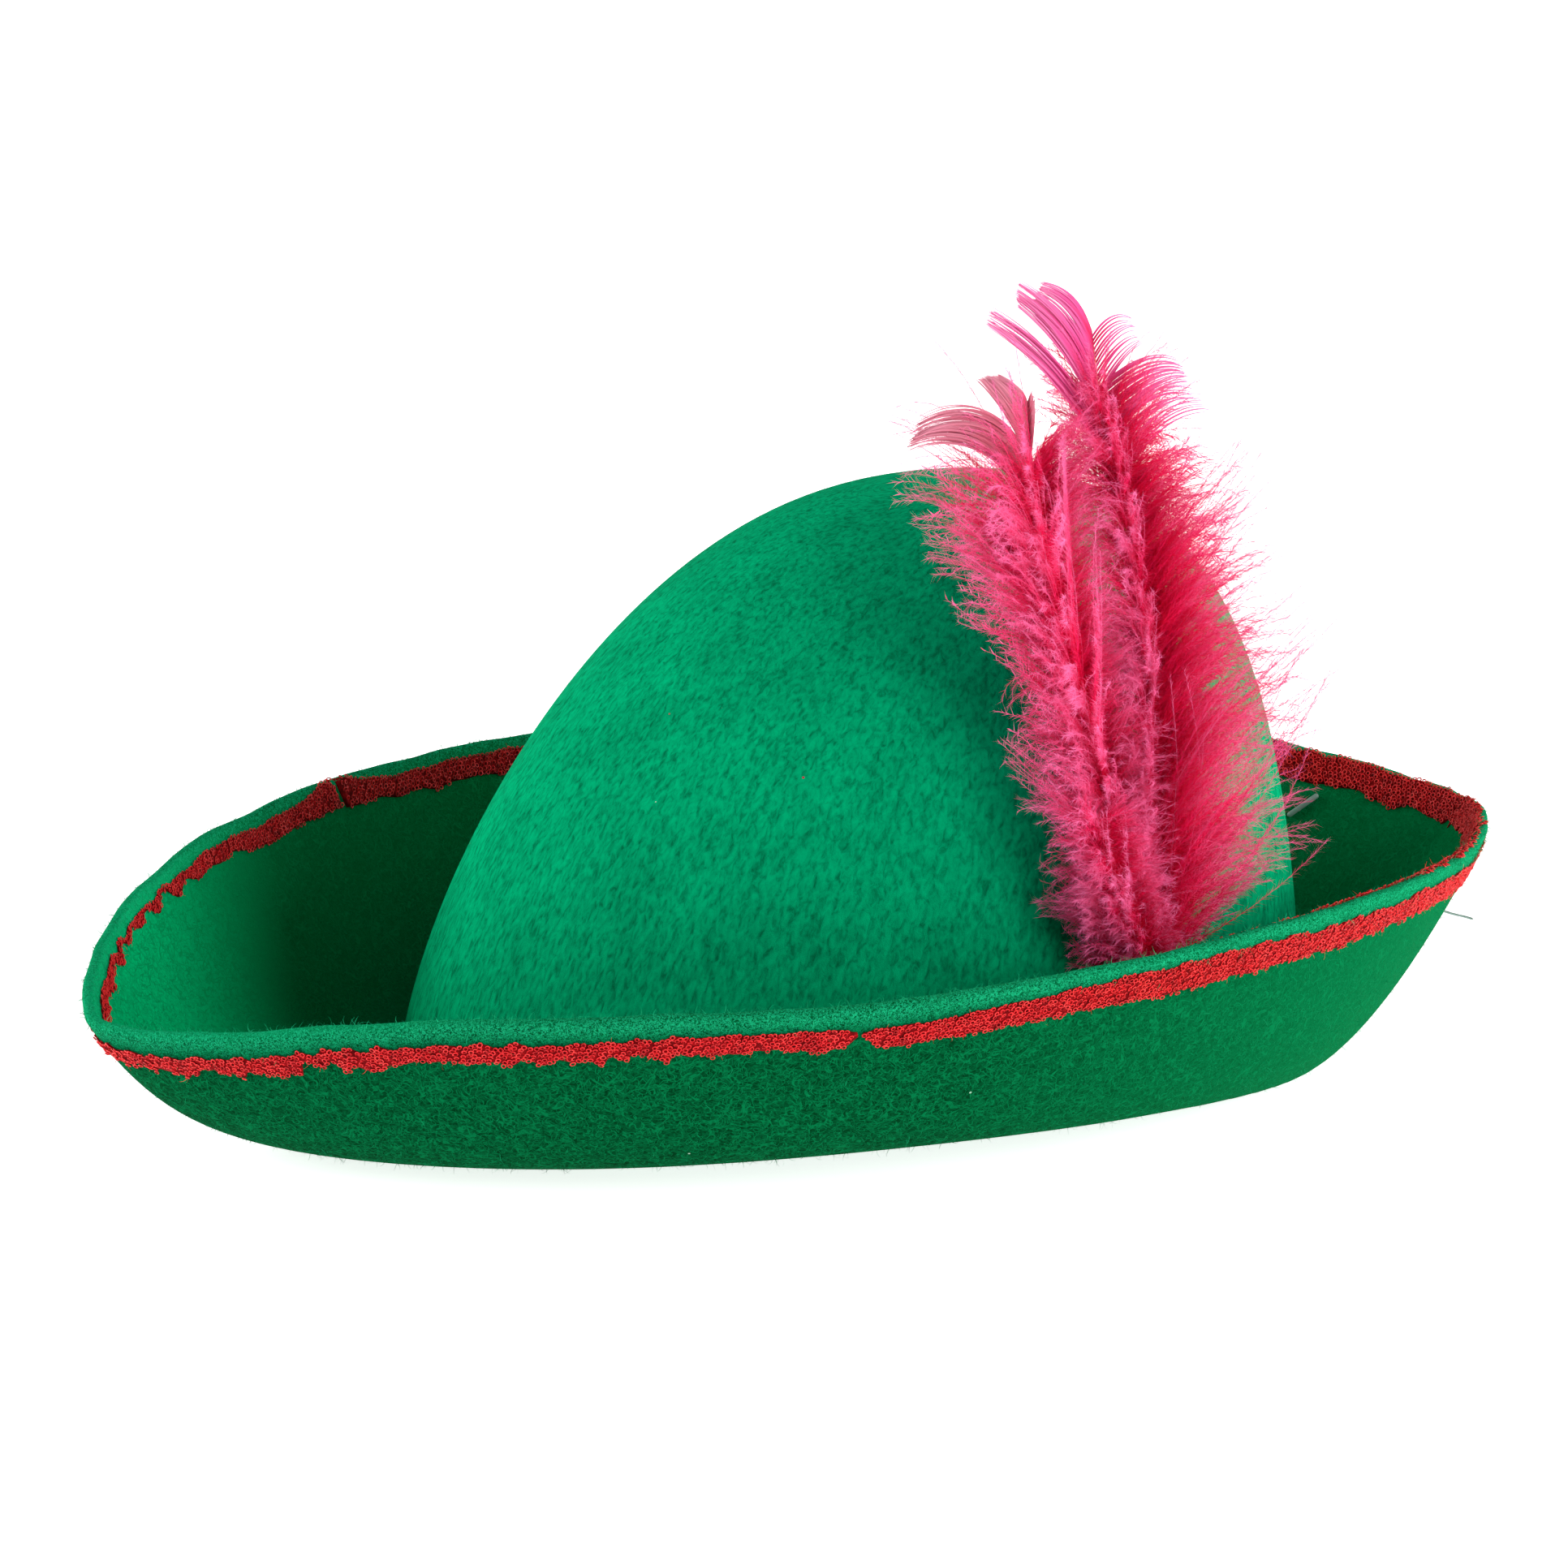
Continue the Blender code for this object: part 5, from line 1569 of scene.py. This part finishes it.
def make_tag_pin(settings):
    """The left-over tag pin: a bar on the brim's inner face and a filament out to its cut end."""
    near, away, _, _ = on_brim(np.array(PIN_AZIMUTH), np.array(PIN_DEPTH), 1, np.array(0.0))
    outward = -away
    centre = near + outward * LIP
    # The bar lies against the felt, at the turn it was left at
    bar = unit(PIN_BAR_WAY - outward * (PIN_BAR_WAY @ outward))
    middle = centre - outward * (LIP + PIN_BAR_OFF_FELT)
    half = bar * PIN_BAR_LENGTH / 2
    rod, radii = rounded_ends(np.linspace(middle - half * 0.9, middle + half * 0.9, 9), PIN_BAR_RADIUS)
    pieces = [(tube_points(rod, np.maximum(radii, 1e-6), 14), 14)]
    # The filament's way from its hole, round behind the brim
    route = [
        centre + outward * 0.006, (0.1640, 0.0440, 0.0345), (0.1715, 0.0335, 0.0230),
        (0.1728, 0.0180, 0.0150), (0.1732, 0.0000, 0.0153),
    ]
    path = np.vstack([middle, centre, smooth_path(route, 60)])
    radii = np.full(len(path), PIN_FILAMENT_RADIUS)
    radii[-1] = 1e-6
    pieces.append((tube_points(path, radii, 10), 10))
    points = np.concatenate([rings.reshape(-1, 3) for rings, _ in pieces])
    faces = []
    offset = 0
    for rings, sides in pieces:
        faces.append(grid_faces(len(rings), sides, True) + offset)
        offset += len(rings) * sides
    mesh = make_mesh("nylon_tag_pin", points, np.concatenate(faces))
    merge_points(mesh)
    place_piece(mesh, "tag", nylon_material(settings), ["tag_pin"])


# ---------------------------------------------------------------- studio


def way_to(turn, height):
    """The way to something so far round the hat from its left side, and so far above level."""
    return Vector((math.sin(turn) * math.cos(height), -math.cos(turn) * math.cos(height), math.sin(height)))


def make_studio(settings):
    """A pale floor without an edge in view, a light room, soft light from both sides, and the camera."""
    scene = bpy.context.scene
    scene.view_settings.view_transform = "Standard"
    floor_material, tree, shader = new_material("white_light_table", Roughness=0.9, Emission_Strength=0.8)
    shader.inputs["Emission Color"].default_value = (1.0, 1.0, 1.0, 1.0)
    place = add_node(tree, "ShaderNodeTexCoord").outputs["Object"]
    grain = add_node(tree, "ShaderNodeTexNoise", {"Vector": place, "Scale": 40.0})
    dress(tree, shader, grain.outputs["Fac"], [
        (0.0, tuple(0.985 * v for v in settings.floor_colour)), (1.0, settings.floor_colour),
    ])
    side = settings.floor_side / 2
    corners = [(-side, -side, 0), (side, -side, 0), (side, side, 0), (-side, side, 0)]
    floor = bpy.data.objects.new("floor", make_mesh("floor", corners, [[0, 1, 2, 3]]))
    floor.data.materials.append(floor_material)
    scene.collection.objects.link(floor)
    world = bpy.data.worlds.new("light_room")
    world.use_nodes = True
    background = world.node_tree.nodes["Background"]
    background.inputs["Color"].default_value = (1.0, 1.0, 1.0, 1.0)
    background.inputs["Strength"].default_value = settings.room_light
    scene.world = world
    # Each soft light: how far round the hat from its left side and how high it stands, and how broad it is
    for name, strength, turn, height, spread in (
        ("left_light", settings.left_light, -126, 14, 50),
        ("front_light", settings.front_light, 28, 18, 30),
        ("right_light", settings.right_light, 80, 8, 50),
    ):
        lamp = bpy.data.lights.new(name, "SUN")
        lamp.energy = strength
        lamp.angle = math.radians(spread)
        light = bpy.data.objects.new(name, lamp)
        towards = way_to(math.radians(turn), math.radians(height))
        light.rotation_euler = towards.to_track_quat("Z", "Y").to_euler()
        scene.collection.objects.link(light)
    back = way_to(settings.camera_turn, settings.camera_tilt)
    data = bpy.data.cameras.new("camera")
    data.sensor_width = 36.0
    data.lens = settings.camera_lens
    camera = bpy.data.objects.new("camera", data)
    camera.location = Vector(settings.camera_target) + back * settings.camera_distance
    camera.rotation_euler = back.to_track_quat("Z", "Y").to_euler()
    scene.collection.objects.link(camera)
    scene.camera = camera


# ---------------------------------------------------------------- settings, operators and panel


def colour_setting(label, description, code):
    return bpy.props.FloatVectorProperty(
        name=label, description=description, subtype="COLOR", size=3, min=0.0, max=1.0,
        default=linear(code),
    )


def length_setting(label, description, value):
    return bpy.props.FloatProperty(
        name=label, description=description, subtype="DISTANCE", unit="LENGTH", min=0.0, precision=6,
        default=value,
    )


def number_setting(label, description, value, **limits):
    return bpy.props.FloatProperty(name=label, description=description, default=value, **limits)


def angle_setting(label, description, degrees):
    return number_setting(label, description, math.radians(degrees), subtype="ANGLE", unit="ROTATION")


def count_setting(label, description, value):
    return bpy.props.IntProperty(name=label, description=description, default=value, min=0)


class FeltSettings(bpy.types.PropertyGroup):
    crown_colour: colour_setting("Crown", "Felt pressed smooth over the block", "#009a66")
    # Painted highlight on the crown's ridges, and painted shade in its pits
    crown_light: colour_setting("Crown ridges", "The ridges left by pulling", "#00ae74")
    crown_pit_shade: colour_setting("Crown pits", "The pits between the ridges", "#006e48")
    brim_colour: colour_setting("Brim", "Felt left fuzzy inside the brim", "#00582c")
    brim_light: colour_setting("Brim, raised", "Where the brim's fibres stand up", "#006c3a")
    # Painted light: the lighter colour inside the front of the brim
    inner_painted_light_colour: colour_setting("Brim, brushed", "Inside the front of the brim", "#00c078")
    outer_colour: colour_setting("Brim, outside", "Between the fibres on the brim's outer face", "#003418")
    # Painted light: the lighter colour of the outer face towards the back
    outer_painted_light_colour: colour_setting("Brim, rubbed", "The outer face towards the back", "#00703e")
    fibre_colour: colour_setting("Fibres", "Matted fibres on the brim", "#047c48")
    lip_colour: colour_setting("Lip", "Fibres on the worn lip", "#1cb880")
    lip_fibres: count_setting("Lip fibres", "Loose fibres on the lip", 6000)
    brim_fibres: count_setting("Brim fibres", "Loose fibres on the outer face", 5200)
    crown_fibres: count_setting("Crown fibres", "Loose fibres on the crown", 2600)
    fibre_width: length_setting("Fibre width", "Width of one loose fibre", 0.00007)


class BraidSettings(bpy.types.PropertyGroup):
    yarn_colour: colour_setting("Yarn", "Dyed yarn", "#ec141e")
    yarn_light: colour_setting("Yarn crests", "Where the loops catch the light", "#f8403e")
    yarn_dark: colour_setting("Yarn in shade", "Between the loops", "#a00810")
    loop_pitch: length_setting("Loop pitch", "Distance from loop to loop", 0.00122)
    loop_radius: length_setting("Loop radius", "Radius of one loop", 0.00048)
    yarn_radius: length_setting("Yarn radius", "Radius of the yarn", 0.00016)
    loose_ends: count_setting("Loose ends", "Loose fibres on a braid", 1800)


class PlumeSettings(bpy.types.PropertyGroup):
    # The root colours of the barbs and webs are painted shade, and their tip colours painted light
    barb_deep: colour_setting("Barb roots", "Where barbs crowd at the quill", "#ff0a56")
    barb_colour: colour_setting("Barbs", "Along the barbs", "#ff2070")
    barb_light: colour_setting("Barb tips", "Where barbs thin out", "#ff7ab4")
    web_deep: colour_setting("Web roots", "The firm tip of the tall feather, at the quill", "#d81c5c")
    web_colour: colour_setting("Web", "The firm tip of the tall feather", "#e04890")
    web_light: colour_setting("Web ends", "Where the firm tip frays", "#ee80b4")
    faded_deep: colour_setting("Faded web roots", "The firm tip of the left feather, at the quill", "#b83a58")
    faded_colour: colour_setting("Faded web", "That tip, where the dye took thinly", "#c45a72")
    faded_light: colour_setting("Faded web ends", "Where that tip frays", "#d8869a")
    quill_colour: colour_setting("Quill", "Thin dye over the pale shaft", "#f07050")
    quill_dark: colour_setting("Quill streaks", "Deeper dye on the shaft", "#d83a3c")
    barb_spacing: number_setting("Barb spacing", "1 is as set for each feather", 0.72, min=0.3)
    barbule_spacing: length_setting("Barbule spacing", "Distance between barbules on a barb", 0.00024)
    barbule_length: length_setting("Barbule length", "Length of the barbules near the quill", 0.0027)
    barbule_width: length_setting("Barbule width", "Width of a barbule at its root", 0.00013)
    web_barb_width: length_setting("Web barb width", "Width of a flat barb at the feather's tip", 0.00052)


class TrimSettings(bpy.types.PropertyGroup):
    band_colour: colour_setting("Sweatband", "Ribbon inside the crown", "#17181a")
    rib_scale: number_setting("Rib scale", "349 gives ribs 0.9 mm apart", 349.0, min=1.0)
    stitch_pitch: length_setting("Stitch pitch", "Distance from stitch to stitch", 0.0058)
    nylon_colour: colour_setting("Tag pin", "Clear nylon over green felt", "#a5c4bb")


class StudioSettings(bpy.types.PropertyGroup):
    floor_colour: colour_setting("Floor", "Plain paper floor", "#fbfbfb")
    floor_side: length_setting("Floor side", "Side of the square floor", 14.0)
    room_light: number_setting("Room light", "Even light from all round", 0.25, min=0.0)
    left_light: number_setting("Left light", "Strength of the soft light at the hat's front", 3.5, min=0.0)
    front_light: number_setting("Front light", "Strength of the soft light at its left side", 1.7, min=0.0)
    right_light: number_setting("Right light", "Strength of the soft light at its back", 2.7, min=0.0)
    camera_turn: angle_setting("Camera turn", "Round the hat from its left side", -27.0)
    camera_tilt: angle_setting("Camera tilt", "Above level", 13.0)
    camera_distance: length_setting("Camera distance", "From the point looked at", 1.4)
    camera_lens: number_setting("Lens", "Focal length in millimetres", 146.16, min=1.0)
    camera_target: bpy.props.FloatVectorProperty(
        name="Camera target", description="The point looked at", subtype="TRANSLATION", unit="LENGTH", size=3,
        default=(-0.0083, 0.0, 0.0669),
    )


class HAT_OT_studio(bpy.types.Operator):
    """Sets up the floor, the lights and the camera"""
    bl_idname = "hat.make_studio"
    bl_label = "Studio"

    def execute(self, context):
        make_studio(context.scene.hat_studio)
        return {"FINISHED"}


class HAT_OT_felt(bpy.types.Operator):
    """Blocks the felt crown and brim"""
    bl_idname = "hat.make_felt"
    bl_label = "Felt body"

    def execute(self, context):
        make_felt_body(context.scene.hat_felt)
        return {"FINISHED"}


class HAT_OT_fibres(bpy.types.Operator):
    """Raises the felt's loose fibres"""
    bl_idname = "hat.make_fibres"
    bl_label = "Loose fibres"

    def execute(self, context):
        make_felt_fibres(context.scene.hat_felt)
        return {"FINISHED"}


class HAT_OT_braids(bpy.types.Operator):
    """Lays the knitted braid along both faces of the brim"""
    bl_idname = "hat.make_braids"
    bl_label = "Braids"

    def execute(self, context):
        settings = context.scene.hat_braid
        make_braid("outer_knit", "outer_braid", -1, OUTER_BRAID_JOINT, outer_braid_edges, settings, 61)
        make_braid("inner_knit", "inner_braid", 1, INNER_BRAID_JOINT, inner_braid_edges, settings, 71)
        return {"FINISHED"}


class HAT_OT_feathers(bpy.types.Operator):
    """Grows the three feathers of the plume"""
    bl_idname = "hat.make_feathers"
    bl_label = "Feathers"

    def execute(self, context):
        make_feathers(context.scene.hat_plume)
        return {"FINISHED"}


class HAT_OT_bindings(bpy.types.Operator):
    """Winds the thread round the quills and tacks them to the crown"""
    bl_idname = "hat.make_bindings"
    bl_label = "Plume threads"

    def execute(self, context):
        make_bindings(context.scene.hat_plume)
        return {"FINISHED"}


class HAT_OT_sweatband(bpy.types.Operator):
    """Sews the sweatband into the crown"""
    bl_idname = "hat.make_sweatband"
    bl_label = "Sweatband"

    def execute(self, context):
        make_sweatband(context.scene.hat_trim)
        return {"FINISHED"}


class HAT_OT_tag_pin(bpy.types.Operator):
    """Leaves the tag pin in the brim"""
    bl_idname = "hat.make_tag_pin"
    bl_label = "Tag pin"

    def execute(self, context):
        make_tag_pin(context.scene.hat_trim)
        return {"FINISHED"}


OPERATORS = (
    HAT_OT_studio, HAT_OT_felt, HAT_OT_fibres, HAT_OT_braids, HAT_OT_feathers, HAT_OT_bindings,
    HAT_OT_sweatband, HAT_OT_tag_pin,
)
SETTINGS = {
    "hat_felt": FeltSettings, "hat_braid": BraidSettings, "hat_plume": PlumeSettings,
    "hat_trim": TrimSettings, "hat_studio": StudioSettings,
}


class HAT_PT_panel(bpy.types.Panel):
    """Settings and makers of the hat's pieces"""
    bl_idname = "HAT_PT_panel"
    bl_label = "Felt hat"
    bl_space_type = "VIEW_3D"
    bl_region_type = "UI"
    bl_category = "Hat"

    def draw(self, context):
        for name, group in SETTINGS.items():
            box = self.layout.box()
            for label in group.__annotations__:
                box.prop(getattr(context.scene, name), label)
        for operator in OPERATORS:
            self.layout.operator(operator.bl_idname)


def register():
    for group in SETTINGS.values():
        bpy.utils.register_class(group)
    for operator in OPERATORS:
        bpy.utils.register_class(operator)
    bpy.utils.register_class(HAT_PT_panel)
    for name, group in SETTINGS.items():
        setattr(bpy.types.Scene, name, bpy.props.PointerProperty(type=group))


def unregister():
    for name in SETTINGS:
        delattr(bpy.types.Scene, name)
    bpy.utils.unregister_class(HAT_PT_panel)
    for group in (*OPERATORS, *SETTINGS.values()):
        bpy.utils.unregister_class(group)


def main():
    register()
    bpy.ops.hat.make_studio()
    bpy.ops.hat.make_felt()
    bpy.ops.hat.make_fibres()
    bpy.ops.hat.make_braids()
    bpy.ops.hat.make_feathers()
    bpy.ops.hat.make_bindings()
    bpy.ops.hat.make_sweatband()
    bpy.ops.hat.make_tag_pin()


if __name__ == "__main__":
    main()
